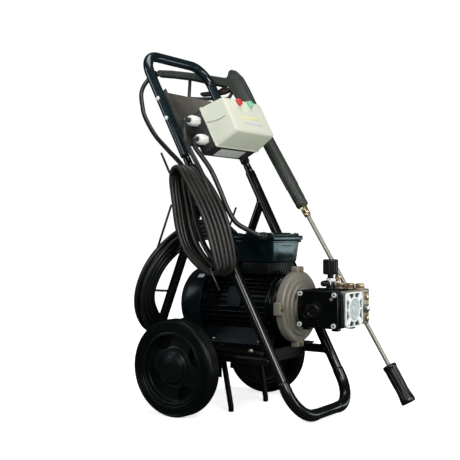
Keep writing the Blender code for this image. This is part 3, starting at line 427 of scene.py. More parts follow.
class Kit:
    """Collects closed bodies of one material into one mesh."""

    def __init__(self):
        self.bm = bmesh.new()

    def take(self, part, matrix=None):
        """Adds a bmesh and frees it."""
        if matrix is not None:
            part.transform(matrix)
        bmesh.ops.recalc_face_normals(part, faces=part.faces[:])
        mesh = bpy.data.meshes.new("part")
        part.to_mesh(mesh)
        part.free()
        self.bm.from_mesh(mesh)
        bpy.data.meshes.remove(mesh)
        return self

    def mesh(self, verts, faces):
        mesh = bpy.data.meshes.new("part")
        mesh.from_pydata([tuple(v) for v in verts], [], faces)
        part = bmesh.new()
        part.from_mesh(mesh)
        bpy.data.meshes.remove(mesh)
        return self.take(part)

    def tube(self, points, radius, sides, closed=False, radii=None):
        """A round tube along a path, scaled at each point by radii; open ends are eased."""
        stations = []
        for point, scale in zip(points, radii or [1.0] * len(points)):
            point = Vector(point)
            if not stations or (point - stations[-1][0]).length > 1e-6:
                stations.append((point, scale))
        points, scales = zip(*stations)
        n = len(points)
        tangents = []
        for i in range(n):
            before = points[(i - 1) % n if closed else max(i - 1, 0)]
            after = points[(i + 1) % n if closed else min(i + 1, n - 1)]
            tangents.append((after - before).normalized())

        def turned(vector, start, end):
            """The vector carried from one tangent to the next."""
            axis = start.cross(end)
            if axis.length > 1e-9:
                return Matrix.Rotation(start.angle(end), 3, axis.normalized()) @ vector
            return vector

        normal = tangents[0].cross(Z if abs(tangents[0].z) < 0.9 else X).normalized()
        frames = []
        for i, tangent in enumerate(tangents):
            if i:
                normal = turned(normal, tangents[i - 1], tangent)
                normal = (normal - normal.project(tangent)).normalized()
            frames.append((normal.copy(), tangent.cross(normal)))
        twist = 0.0
        if closed:
            last = turned(frames[-1][0], tangents[-1], tangents[0])
            twist = math.atan2(last.dot(frames[0][1]), last.dot(frames[0][0]))

        rings = [(point, i, scale) for i, (point, scale) in enumerate(stations)]
        if not closed:
            first, last = scales[0], scales[-1]
            rings = [
                (points[0], 0, first * 0.8),
                (points[0] + tangents[0] * (radius * 0.2 * first), 0, first * 0.96),
                *rings[1:-1],
                (points[-1] - tangents[-1] * (radius * 0.2 * last), n - 1, last * 0.96),
                (points[-1], n - 1, last * 0.8)]
        verts, faces = [], []
        for point, i, scale in rings:
            across, up = frames[i]
            for k in range(sides):
                a = math.tau * k / sides - twist * i / n
                verts.append(point + (across * math.cos(a) + up * math.sin(a))
                             * (radius * scale))
        m = len(rings)
        for i in range(m if closed else m - 1):
            j = (i + 1) % m
            for k in range(sides):
                l = (k + 1) % sides
                faces.append((i * sides + k, i * sides + l, j * sides + l, j * sides + k))
        if not closed:
            faces.append(tuple(range(sides))[::-1])
            faces.append(tuple((m - 1) * sides + k for k in range(sides)))
        return self.mesh(verts, faces)

    def lathe(self, profile, matrix, sides, closed=False, wave=None):
        """Turns (radius, height) points; wave(radius, height, angle) changes a radius."""
        verts, rows = [], []
        for radius, height in profile:
            start = len(verts)
            if radius < 1e-7:
                verts.append(matrix @ Vector((0, 0, height)))
            else:
                for k in range(sides):
                    a = math.tau * k / sides
                    waved = wave(radius, height, a) if wave else radius
                    verts.append(matrix @ Vector((*polar(waved, a), height)))
            rows.append(range(start, len(verts)))
        pairs = list(zip(rows, rows[1:]))
        if closed:
            pairs.append((rows[-1], rows[0]))
        faces = []
        for a, b in pairs:
            if len(a) == 1 and len(b) == 1:
                continue
            for k in range(sides):
                l = (k + 1) % sides
                if len(a) == 1:
                    faces.append((a[0], b[l], b[k]))
                elif len(b) == 1:
                    faces.append((a[k], a[l], b[0]))
                else:
                    faces.append((a[k], a[l], b[l], b[k]))
        return self.mesh(verts, faces)

    def turn(self, profile, matrix, sides, rounding, steps=3, closed=False, wave=None):
        """Lathes a profile with rounded corners."""
        return self.lathe(soft(profile, rounding, steps, closed), matrix, sides, closed, wave)

    def disc(self, radius, low, high, matrix, sides, rounding, steps=3):
        return self.turn([(0, low), (radius, low), (radius, high), (0, high)],
                         matrix, sides, rounding, steps)

    def ring(self, inner, outer, low, high, matrix, sides, rounding, steps=3):
        return self.turn([(inner, low), (outer, low), (outer, high), (inner, high)],
                         matrix, sides, rounding, steps, closed=True)

    def block(self, low, high, bevel, segments=3, matrix=None, shape=None):
        """A box with rounded edges; shape(vertex) may move its corners first."""
        part = bmesh.new()
        bmesh.ops.create_cube(part, size=1)
        low, high = Vector(low), Vector(high)
        for v in part.verts:
            v.co = Vector([low[i] + (v.co[i] + 0.5) * (high[i] - low[i]) for i in range(3)])
            if shape:
                shape(v)
        if bevel:
            bevel_edges(part, part.edges[:], bevel, segments)
        return self.take(part, matrix)

    def prism(self, loops, half, matrix, bevel=0, resolution=3):
        """Extrudes nested outlines by half to each side."""
        curve = bpy.data.curves.new("outline", "CURVE")
        curve.dimensions, curve.fill_mode = "2D", "BOTH"
        for loop in loops:
            spline = curve.splines.new("POLY")
            spline.points.add(len(loop) - 1)
            for point, (x, y) in zip(spline.points, loop):
                point.co = (x, y, 0, 1)
            spline.use_cyclic_u = True
        curve.extrude = half - bevel
        curve.bevel_depth, curve.bevel_resolution, curve.offset = bevel, resolution, -bevel
        obj = bpy.data.objects.new("outline", curve)
        bpy.context.scene.collection.objects.link(obj)
        mesh = evaluated_mesh(obj)
        part = bmesh.new()
        part.from_mesh(mesh)
        bmesh.ops.remove_doubles(part, verts=part.verts[:], dist=0.00001)
        bpy.data.objects.remove(obj, do_unlink=True)
        bpy.data.curves.remove(curve)
        bpy.data.meshes.remove(mesh)
        return self.take(part, matrix)

    def hexagon(self, radius, low, high, matrix, bevel):
        """A hexagon bar, its size given to the corners."""
        part = bmesh.new()
        bmesh.ops.create_cone(part, cap_ends=True, segments=6, radius1=radius,
                              radius2=radius, depth=high - low)
        bmesh.ops.translate(part, verts=part.verts[:], vec=(0, 0, (low + high) / 2))
        bevel_edges(part, part.edges[:], bevel, 2)
        return self.take(part, matrix)

    def bolt(self, matrix, radius, height, washer):
        """A hexagon head on a washer, standing on local z 0."""
        self.disc(washer, 0, 0.001, matrix, 32, 0.0003, 2)
        return self.hexagon(radius, 0.0009, 0.0009 + height, matrix, 0.0005)

    def make(self, name, material, slot, *replaced, body="frame", sharp=38, cutters=()):
        mesh = bpy.data.meshes.new(name)
        self.bm.to_mesh(mesh)
        self.bm.free()
        obj = bpy.data.objects.new(name, mesh)
        bpy.context.scene.collection.objects.link(obj)
        for cutter in cutters:
            carve(obj, cutter)
        obj.data.transform(Matrix.Translation(CARRY))
        obj.data.shade_smooth()
        obj.data.set_sharp_from_angle(angle=math.radians(sharp))
        obj.data.materials.clear()
        obj.data.materials.append(MATERIALS[material])
        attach(obj, body)
        if replaced:
            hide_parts(*replaced)


def evaluated_mesh(obj):
    bpy.context.view_layer.update()
    graph = bpy.context.evaluated_depsgraph_get()
    return bpy.data.meshes.new_from_object(obj.evaluated_get(graph))


def carve(obj, kit):
    """Cuts the bodies of a kit out of an object."""
    mesh = bpy.data.meshes.new("cutter")
    kit.bm.to_mesh(mesh)
    kit.bm.free()
    cutter = bpy.data.objects.new("cutter", mesh)
    bpy.context.scene.collection.objects.link(cutter)
    cut = obj.modifiers.new("cut", "BOOLEAN")
    cut.operation, cut.solver, cut.object = "DIFFERENCE", "EXACT", cutter
    carved, old = evaluated_mesh(obj), obj.data
    obj.modifiers.clear()
    obj.data = carved
    bpy.data.meshes.remove(old)
    bpy.data.objects.remove(cutter, do_unlink=True)
    bpy.data.meshes.remove(mesh)


def dress(node, material, width, segments=2):
    """Keeps a CAD piece: edges rounded, a procedural material."""
    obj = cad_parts[node]
    obj.data.materials.clear()
    obj.data.materials.append(MATERIALS[material])
    for polygon in obj.data.polygons:
        polygon.material_index = 0
    weld = obj.modifiers.new("weld", "WELD")
    weld.merge_threshold = 0.00002
    if width:
        bevel = obj.modifiers.new("edges", "BEVEL")
        bevel.width, bevel.segments = width, segments
        bevel.limit_method, bevel.angle_limit = "ANGLE", math.radians(34)
        bevel.harden_normals = False


# ---------------------------------------------------------------- trolley frame
# place along the rail, share of the tube radius, where the rail narrows into the handle
NECK = ((RAIL_TOP, 0.78), (0.731, 0.78), (0.729, 0.8), (0.724, 0.97), (0.722, 1.0))


def weld_bead(kit, joint, way, back):
    """A lumpy bead where a strut, running along way from back before, meets the rail."""
    side = way.cross(ALONG).normalized()
    other = way.cross(side)
    flat_way = way - ALONG * way.dot(ALONG)
    curve = []
    for k in range(28):
        a = math.tau * k / 28
        base = (side * math.cos(a) + other * math.sin(a)) * STRUT_R - way * back
        flat = base - ALONG * base.dot(ALONG)
        # nearer solution of |flat + flat_way * t| = TUBE_R
        qa, qb, qc = flat_way.dot(flat_way), 2 * flat.dot(flat_way), flat.dot(flat) - TUBE_R ** 2
        root = math.sqrt(max(qb * qb - 4 * qa * qc, 0.0))
        curve.append(joint + base + way * ((-qb - root) / (2 * qa)))
    lumps = [1 + 0.22 * math.sin(i * 2.4) + 0.1 * math.sin(i * 5.1 + 1)
             for i in range(len(curve))]
    kit.tube(curve, 0.0022, 8, closed=True, radii=lumps)


def build_frame():
    """The U of the rails with its struts, hose arms and cable hooks."""
    bend = fillet([rail(-RAIL_X, RAIL_TOP), rail(-RAIL_X, FOOT_S), rail(RAIL_X, FOOT_S),
                   rail(RAIL_X, RAIL_TOP)], RAIL_BEND, 16, clamp=False)[1:-1]
    left = [rail(-RAIL_X, s) for s, _ in NECK]
    right = [rail(RAIL_X, s) for s, _ in reversed(NECK)]
    scales = [scale for _, scale in NECK]
    tubes, welds = Kit(), Kit()
    tubes.tube(left + bend + right, TUBE_R, 28,
               radii=scales + [1.0] * len(bend) + scales[::-1])
    for side, _ in SIDES:
        x = side * RAIL_X
        top = Vector((x, strut_y(0.5761), 0.5761))
        corner = Vector((x, strut_y(BASE_Z), BASE_Z))
        front = rail(x, (BASE_Z - FOOT.z) / math.sin(RAIL_TILT))
        front.z = BASE_Z
        tubes.tube(fillet([top, corner, front], 0.055, 12, clamp=False), STRUT_R, 24)
        tubes.block((x - 0.009, -0.016, WHEEL_R + 0.0105), (x + 0.009, 0.016, BASE_Z - 0.004),
                    0.0015)
        arm = [(x, strut_y(0.32), 0.32), (side * 0.155, strut_y(0.32) + 0.022, 0.32),
               (side * 0.155, strut_y(0.32) + 0.09, 0.32),
               (side * 0.155, strut_y(0.553) + 0.0884, 0.553)]
        tubes.tube(fillet(arm, 0.008, 6), ROD_R, 14)
        weld_bead(welds, top, STRUT_WAY, 0.12)
        weld_bead(welds, front, -Y, 0.1)
    for s, way in ((0.6957, 1), (0.4235, -1)):
        hook = [rail(-RAIL_X, s), rail(-0.248, s), rail(-0.248, s + way * 0.062)]
        tubes.tube(fillet(hook, 0.008, 6), ROD_R, 14)
        tubes.turn([(0, 0.013), (0.0062, 0.013), (0.0042, 0.0172), (0, 0.0172)],
                   axis_matrix(rail(-RAIL_X, s), -X), 20, 0.001, 2)
    tubes.make("frame_tubes", "frame", "frame", "main_frame")
    welds.make("frame_weld_beads", "frame", "frame")


def build_handle():
    path = fillet([rail(-RAIL_X, HANDLE_START), rail(-RAIL_X, HANDLE_TOP),
                   rail(RAIL_X, HANDLE_TOP), rail(RAIL_X, HANDLE_START)],
                  0.066, 18, clamp=False)
    Kit().tube(path, TUBE_R, 32).make("handle_tube", "handle", "handle", "handle_loop")
    bolts = Kit()
    for side, _ in SIDES:
        for s in (0.9389, 0.8759):
            bolts.turn([(0, 0), (0.006, 0), (0.006, 0.0012), (0.005, 0.0026),
                        (0.003, 0.0036), (0, 0.004)],
                       axis_matrix(rail(side * (RAIL_X + 0.0128), s, -0.001), X * side),
                       28, 0.0006, 2)
    bolts.make("handle_bolts", "silver", "steel")


def build_foot_sleeves():
    for side, tag in SIDES:
        bend = fillet([rail(side * RAIL_X, 0.105), rail(side * RAIL_X, FOOT_S),
                       rail(side * 0.052, FOOT_S)], RAIL_BEND, 22, clamp=False)
        path = []
        for a, b in zip(bend, bend[1:]):
            parts = max(1, int((b - a).length / 0.0035))
            path += [a.lerp(b, k / parts) for k in range(parts)]
        path.append(bend[-1])
        last = len(path) - 1
        radii = [1 - 0.05 * max(0.0, 1 - min(i, last - i) / 2) for i in range(last + 1)]
        Kit().tube(path, 0.0152, 28, radii=radii).make(
            "foot_sleeve_cover_" + tag, "rubber", "rubber", "foot_sleeve_" + tag)


def build_stand_and_plates():
    bent = fillet([(-0.086, -0.0836, 0.012), (-0.086, -0.0545, 0.159),
                   (0.086, -0.0545, 0.159), (0.086, -0.0836, 0.012)], 0.018, 10, clamp=False)
    Kit().tube([(-0.086, -0.0836, 0)] + bent + [(0.086, -0.0836, 0)], 0.0075, 20).make(
        "prop_stand_bar", "plate", "frame", "prop_stand")
    dress("motor_platform", "plate", 0.0007)
    dress("control_panel", "panel", 0.0006)
    dress("axle", "steel", 0.0006)
    dress("lance_holder", "plate", 0.0008)
    bolts = Kit()
    for side, _ in SIDES:
        for y in (-0.175, -0.032):
            bolts.bolt(at(side * 0.088, y, 0.186), 0.0072, 0.0085, 0.0098)
            bolts.bolt(at(side * 0.13, y, PLATE_TOP + 0.0001), 0.0052, 0.0042, 0.0078)
    bolts.make("platform_bolts", "zinc", "steel")
    washers = Kit()
    for side, _ in SIDES:
        washers.ring(0.0102, 0.0165, 0, 0.0022, axis_matrix((side * 0.187, 0, WHEEL_R), X * side),
                     40, 0.0005, 2)
    washers.make("axle_washers", "zinc", "steel")


# ---------------------------------------------------------------- wheels
# (radius, height), heights from the inner face of the wheel outwards
RIM_PROFILE = [
    (0.0106, 0.002), (0.03, 0.002), (0.032, 0.014), (0.088, 0.014), (0.088, 0.004),
    (0.0958, 0.004), (0.0958, 0.046), (0.0925, 0.0468), (0.0895, 0.0462), (0.0872, 0.031),
    (0.08, 0.03), (0.056, 0.0318), (0.053, 0.033), (0.042, 0.0338), (0.036, 0.038),
    (0.0106, 0.038)]
HUB_CAP_PROFILE = [
    (0, 0.0385), (0.0335, 0.0385), (0.0368, 0.04), (0.0368, 0.0428), (0.0335, 0.0448),
    (0.0315, 0.0442), (0.0295, 0.0455), (0.016, 0.0476), (0, 0.048)]
WINDOW_R = 0.069


def tyre_profile():
    profile = [(0.0965, 0.045), (0.0975, 0.0474), (0.1, 0.0482)]
    for k in range(3):  # ridges on the outer wall
        r, drop = 0.102 + 0.006 * k, 0.0001 * k
        profile += [(r, 0.0478 - drop), (r + 0.0008, 0.0494 - drop),
                    (r + 0.0036, 0.0494 - drop), (r + 0.0044, 0.0478 - drop)]
    profile += [(0.12, 0.0484), (0.1228, 0.0468), (0.125, 0.044), (0.1262, 0.0412)]
    for k in range(6):  # ribs of the tread
        h = 0.0405 - (0.031 / 6) * (k + 0.5)
        profile += [(0.1268, h + 0.0019), (WHEEL_R, h + 0.0015), (WHEEL_R, h - 0.0009),
                    (0.1268, h - 0.0012), (0.1252, h - 0.0015), (0.1252, h - 0.0028)]
    profile += [(0.1262, 0.0088), (0.125, 0.006), (0.1228, 0.0032), (0.12, 0.0016)]
    for k in range(3):  # ridges on the inner wall
        r = 0.114 - 0.006 * k
        profile += [(r + 0.0044, 0.0015), (r + 0.0036, 0.0003), (r + 0.0008, 0.0003),
                    (r, 0.0015)]
    return profile + [(0.1, 0.0013), (0.0975, 0.0022), (0.0965, 0.005)]


def wheel_windows(side):
    """Four oval cutters, kept inside the rim."""
    shape = []
    for i in range(48):
        t = math.tau * i / 48
        x, y = 0.079 + 0.025 * math.cos(t), 0.027 * math.sin(t)
        shrink = min(1.0, 0.0862 / math.hypot(x, y))
        shape.append((x * shrink - WINDOW_R, y * shrink))
    windows = Kit()
    for k in range(4):
        a = math.radians(27 + 90 * k)
        out, along = Vector((0, -math.cos(a), math.sin(a))), Vector((0, math.sin(a), math.cos(a)))
        centre = Vector((side * (WHEEL_INNER + 0.044), 0, WHEEL_R)) + out * WINDOW_R
        windows.prism([shape], 0.027, frame_matrix(centre, out, along, out.cross(along)))
    return windows


def build_wheel(side, tag):
    hub = axis_matrix((side * WHEEL_INNER, 0, WHEEL_R), (side, 0, 0))
    body = "wheel_" + tag
    Kit().lathe(tyre_profile(), hub, 128, closed=True).make(
        "tyre_tread_" + tag, "tyre", "tyre", "tyre_" + tag, body=body, sharp=50)
    Kit().turn(RIM_PROFILE, hub, 112, 0.0022, closed=True).make(
        "wheel_centre_" + tag, "rim", "rim", "wheel_disc_" + tag, body=body,
        cutters=(wheel_windows(side),))
    ribs = Kit().ring(0.0475, 0.0505, 0.0315, 0.0349, hub, 80, 0.0012)
    ribs.turn([(0.0866, 0.044), (0.0892, 0.044), (0.0896, 0.0474), (0.0874, 0.0474)],
              hub, 112, 0.001, closed=True)
    ribs.make("wheel_ribs_" + tag, "rim", "rim", body=body)
    Kit().turn(HUB_CAP_PROFILE, hub, 72, 0.002).make(
        "hub_dome_" + tag, "rim", "rim", "hub_cap_" + tag, body=body)


# ---------------------------------------------------------------- motor
SHELL_FRONT, SHELL_BACK, COWL_BACK = -0.2, 0.01, 0.091
FINS = 31
# (radius, y)
FRONT_SHIELD_PROFILE = [
    (0.086, -0.2003), (0.086, -0.212), (0.078, -0.2252), (0.0135, -0.2252), (0.0135, -0.218),
    (0.0263, -0.218), (0.0263, -0.2003)]
REAR_SHIELD_PROFILE = [
    (0.0135, 0.018), (0.0135, 0.011), (0.0263, 0.011), (0.0263, -0.006), (0.034, -0.006),
    (0.034, 0.0103), (0.0962, 0.0103), (0.0962, 0.018)]
COWL_PROFILE = [
    (0.1, 0.0108), (0.1, COWL_BACK - 0.034), (0.0965, COWL_BACK - 0.016),
    (0.085, COWL_BACK - 0.0045), (0.064, COWL_BACK), (0.014, COWL_BACK),
    (0.014, COWL_BACK - 0.0025), (0.06, COWL_BACK - 0.0025), (0.082, COWL_BACK - 0.0065),
    (0.094, COWL_BACK - 0.018), (0.0974, COWL_BACK - 0.035), (0.0974, 0.0108)]
FLANGE_PROFILE = [
    (0.09, -0.2256), (0.0936, -0.2285), (0.0936, -0.2462), (0.09, -0.25), (0.077, -0.25),
    (0.075, -0.2545), (0.063, -0.2545), (0.061, -0.2595), (0.05, -0.2595), (0.048, -0.2655),
    (0.0135, -0.2655), (0.0135, -0.2256)]
# inner radius, outer radius, slots round the ring
COWL_SLOTS = ((0.02, 0.0265, 8), (0.031, 0.0375, 12), (0.042, 0.0485, 16), (0.053, 0.059, 20))


def on_motor(radius, y, degrees):
    """A frame on the round of the motor, its z pointing away from the shaft."""
    x, z = polar(1, math.radians(degrees))
    return axis_matrix((radius * x, y, MOTOR_Z + radius * z), (x, 0, z))


def build_motor_shell():
    foot, wide, narrow = PLATE_TOP + 0.0004 - MOTOR_Z, 0.026, 0.0135
    outline = []
    for k in range(FINS):
        a = math.radians(-33 + 246 * k / (FINS - 1))
        outline += [polar(r, a + shift) for r, shift in (
            (0.0842, -wide), (0.0942, -narrow), (0.0948, 0), (0.0942, narrow),
            (0.0842, wide))]
    outline += [(-0.098, foot + 0.012), (-0.098, foot), (-0.052, foot), (-0.044, -0.082),
                (0, -0.0865), (0.044, -0.082), (0.052, foot), (0.098, foot),
                (0.098, foot + 0.012)]
    shell = Kit().prism([outline, circle(0.076, 72)], (SHELL_BACK - SHELL_FRONT) / 2 - 0.007,
                        facing_front(0, (SHELL_FRONT + SHELL_BACK) / 2, MOTOR_Z))
    for y in (SHELL_FRONT, SHELL_BACK - 0.008):
        shell.ring(0.0762, 0.089, y, y + 0.008, SHAFT, 96, 0.0012)
    shell.make("motor_finned_shell", "motor", "motor", "motor_housing", sharp=30)
    Kit().turn(FRONT_SHIELD_PROFILE, SHAFT, 96, 0.002, closed=True).make(
        "front_shield_casting", "motor", "motor", "front_end_shield")
    Kit().turn(REAR_SHIELD_PROFILE, SHAFT, 96, 0.001, 2, closed=True).make(
        "rear_shield_casting", "motor", "motor", "rear_end_shield")


def build_fan_cowl():
    grille = Kit()
    for inner, outer, count in COWL_SLOTS:
        for k in range(count):
            start, end = math.tau * (k + 0.14) / count, math.tau * (k + 0.86) / count
            grille.prism([arc(inner, start, end, 8) + arc(outer, end, start, 8)], 0.006,
                         facing_front(0, COWL_BACK - 0.001, MOTOR_Z))
    Kit().turn(COWL_PROFILE, SHAFT, 128, 0.006, 5, closed=True).make(
        "fan_cowl", "fancover", "motor", "fan_cover", cutters=(grille,))
    screws = Kit()
    for degrees in (178, 60, 300, 2):
        screws.turn([(0, 0), (0.004, 0), (0.0038, 0.0014), (0.002, 0.0022), (0, 0.0023)],
                    on_motor(0.0995, 0.0185, degrees), 24, 0.0005, 2)
    screws.make("cowl_screws", "motor", "motor")


def arc_plate(kit, radius, thick, start, end, y0, y1, n):
    """A curved plate round the motor, between two angles in degrees."""
    verts, faces = [], []
    for i in range(n + 1):
        a = math.radians(start + (end - start) * i / n)
        for r in (radius, radius + thick):
            x, z = polar(r, a)
            verts += [(x, y, MOTOR_Z + z) for y in (y0, y1)]
    for i in range(n):
        b, c = 4 * i, 4 * i + 4
        faces += [(b, b + 1, c + 1, c), (b + 2, c + 2, c + 3, b + 3),
                  (b, c, c + 2, b + 2), (b + 1, b + 3, c + 3, c + 1)]
    faces += [(0, 2, 3, 1), (4 * n, 4 * n + 1, 4 * n + 3, 4 * n + 2)]
    return kit.mesh(verts, faces)


def build_motor_plates():
    """A bare lug on the cowl and a blank riveted plate on the shell."""
    arc_plate(Kit(), 0.1, 0.0012, 127, 134, 0.021, 0.04, 14).make(
        "cowl_lug", "label", "silver")
    plate = arc_plate(Kit(), 0.095, 0.0009, 147, 180, -0.119, -0.076, 20)
    for degrees in (149.5, 177.5):
        for y in (-0.1165, -0.0785):
            plate.turn([(0, 0), (0.0016, 0), (0.0012, 0.0008), (0, 0.0011)],
                       on_motor(0.0958, y, degrees), 14, 0.0002, 2)
    plate.make("motor_blank_plate", "plate_name", "motor")


def build_flange():
    flange = Kit().turn(FLANGE_PROFILE, SHAFT, 112, 0.0022, 4, closed=True)
    bolts = Kit()
    for k in range(4):
        quarter = facing_front(0, 0, MOTOR_Z) @ Matrix.Rotation(math.radians(90 * k), 4, "Z")
        flange.block((0.08, -0.017, 0.2275), (0.106, 0.017, 0.2487), 0.0035, 4, quarter)
        bolts.bolt(axis_matrix(quarter @ Vector((0.0965, 0, 0.2486)), -Y),
                   0.005, 0.0034, 0.0074)
    flange.make("adapter_flange", "flange", "flange", "motor_flange")
    bolts.make("flange_bolts", "cap_metal", "steel")


# ---------------------------------------------------------------- terminal box
BOX_Y = -0.1465
LID_SCREWS = [(x, y) for x in (-0.061, 0.061) for y in (-0.1975, -0.0955)]


def draw_in_foot(vertex):
    """Makes the lower end of the box smaller."""
    if vertex.co.z < 0.42:
        vertex.co.x *= 0.9
        vertex.co.y = BOX_Y + (vertex.co.y - BOX_Y) * 0.9


def build_terminal_box():
    box = Kit().block((-0.07, -0.205, 0.398), (0.07, -0.088, 0.458), 0.006, 5,
                      shape=draw_in_foot)
    box.block((-0.0725, -0.208, 0.4515), (0.0725, -0.085, 0.458), 0.0015)
    box.make("terminal_housing", "box", "box", "terminal_box")
    Kit().block((-0.06, -0.186, MOTOR_Z + 0.083), (0.06, -0.1, 0.404), 0.004).make(
        "terminal_neck", "plate", "box")
    lid = Kit().block((-0.0755, -0.2115, 0.4583), (0.0755, -0.0815, 0.47), 0.0022, 4)
    lid.block((-0.068, -0.204, 0.469), (0.068, -0.089, 0.4752), 0.0022, 4)
    lid.block((-0.05, -0.188, 0.4745), (0.05, -0.105, 0.4778), 0.0015)
    for x, y in LID_SCREWS:
        lid.disc(0.006, 0.474, 0.4768, at(x, y), 28, 0.001, 2)
    for k in range(5):
        x = 0.0175 * k
        lid.block((x - 0.04, -0.18, 0.4765), (x - 0.032, -0.113, 0.4779), 0.0005, 2)
    lid.make("terminal_lid_cover", "box", "box", "terminal_lid")
    screws = Kit()
    for x, y in LID_SCREWS:
        screws.turn([(0, 0.4766), (0.0036, 0.4766), (0.0034, 0.4776), (0, 0.4779)],
                    at(x, y), 20, 0.0003, 2)
    screws.make("lid_screws", "zinc", "steel")


def build_terminal_front():
    """A bulged panel on the sloping front wall, a grid of n by n cells on each face."""
    verts, faces, n = [], [], 14
    for bulged in (True, False):
        for i in range(n + 1):
            for j in range(n + 1):
                u, v = -1 + 2 * i / n, -1 + 2 * j / n
                z = 0.4275 + 0.0215 * v
                y = -0.2042 + (0.4555 - z) * 0.0975
                out = 0.002 * (1 - u ** 4) * (1 - v ** 2) if bulged else -0.0012
                verts.append((0.056 * u * (0.93 + 0.05 * (v + 1) / 2), y - out, z))
    row = n + 1
    size = row * row
    for base in (0, size):
        for i in range(n):
            for j in range(n):
                a = base + i * row + j
                faces.append((a, a + row, a + row + 1, a + 1))
    rim = ([j for j in range(n)] + [i * row + n for i in range(n)]
           + [n * row + n - j for j in range(n)] + [(n - i) * row for i in range(n)])
    for a, b in zip(rim, rim[1:] + rim[:1]):
        faces.append((a, b, b + size, a + size))
    Kit().mesh(verts, faces).make("terminal_front_panel", "box", "box")


# ---------------------------------------------------------------- pump
PLUNGER_Y = (-0.316, -0.345, -0.3735)
VALVE_X = 0.0955
SIGHT_GLASS = axis_matrix((0, -0.318, 0.2775), -X)
GLASS_PROFILE = [
    (0, 0.052), (0.0116, 0.052), (0.0116, 0.0603), (0.02, 0.0603), (0.02, 0.0624),
    (0.016, 0.064), (0.0125, 0.064), (0.0112, 0.0626), (0, 0.063)]
LID_SCREW_PROFILE = [
    (0, 0), (0.0064, 0), (0.0064, 0.004), (0.0052, 0.005), (0.003, 0.005), (0.0028, 0.003),
    (0, 0.003)]


def build_crankcase():
    case = Kit().block((-0.048, -0.388, 0.235), (0.06, -0.273, 0.331), 0.005, 4)
    case.disc(0.04, -0.2755, -0.266, SHAFT, 72, 0.0015)
    for x in (-0.04, 0.04):
        for y in (-0.3, -0.384):
            case.block((x - 0.009, y, 0.229), (x + 0.009, y + 0.018, 0.236), 0.0015)
    for k in range(4):
        x = 0.026 * k
        case.block((x - 0.044, -0.38, 0.33), (x - 0.04, -0.282, 0.3322), 0.0009, 2)
    case.make("pump_crankcase", "pump", "pump", "crankcase")
    collar = Kit().block((-0.043, -0.3965, 0.2395), (0.054, -0.38, 0.3285), 0.006, 4)
    for k in range(3):
        y = -0.3825 - 0.004 * k
        collar.block((-0.045, y - 0.0012, 0.243), (-0.041, y, 0.325), 0.0005, 2)
    collar.make("pump_front_collar", "collar", "pump")


def build_pump_side_lid():
    lid = Kit().block((-0.06, -0.3875, 0.2355), (-0.0483, -0.2735, 0.3305), 0.003, 4)
    for y in (-0.2745, -0.2785):
        lid.block((-0.056, y - 0.001, 0.248), (-0.044, y + 0.0006, 0.318), 0.0005, 2)
    lid.turn([(0.0195, 0.059), (0.0235, 0.059), (0.0225, 0.0612), (0.02, 0.0616)],
             SIGHT_GLASS, 64, 0.0008, closed=True)
    lid.turn([(0.0265, 0.059), (0.03, 0.059), (0.0292, 0.0606), (0.0272, 0.0606)],
             SIGHT_GLASS, 64, 0.0006, closed=True)
    lid.make("pump_side_lid", "pump", "pump", "crankcase_cover")
    screws, sockets = Kit(), Kit()
    for y, z in ((-0.282, 0.3225), (-0.38, 0.3215), (-0.28, 0.2437), (-0.378, 0.2437)):
        way = axis_matrix((-0.0594, y, z), -X)
        screws.turn(LID_SCREW_PROFILE, way, 36, 0.0006, 2)
        # dark hexagons in the screw sockets: painted shade
        sockets.hexagon(0.0027, 0.0028, 0.0036, way, 0.0001)
    screws.make("pump_lid_screws", "screw", "steel")
    sockets.make("pump_lid_socket_shade", "dark_screws_and_shade", "steel")
    Kit().turn([(0, 0.059), (0.0042, 0.059), (0.0042, 0.0622), (0.003, 0.0634), (0, 0.0636)],
               axis_matrix((0, -0.3712, 0.3105), -X), 28, 0.0007, 2).make(
        "pump_level_plug", "flange", "steel")
    glass = Kit().turn(GLASS_PROFILE, SIGHT_GLASS, 64, 0.0008)
    glass.turn([(0, 0.0626), (0.0034, 0.0626), (0.003, 0.0639), (0, 0.0643)],
               SIGHT_GLASS, 24, 0.0004, 2)
    glass.make("oil_window", "glass", "glass", "oil_sight_glass")


BEARING_X, BEARING_Z = 0.0095, 0.282
BEARING = facing_front(BEARING_X, -0.3995, BEARING_Z)
# start and end in degrees of the openings round the bearing cover
BEARING_OPENINGS = ((3, 35), (53, 87), (93, 127), (145, 177), (183, 215), (233, 267),
                    (273, 307), (325, 357))


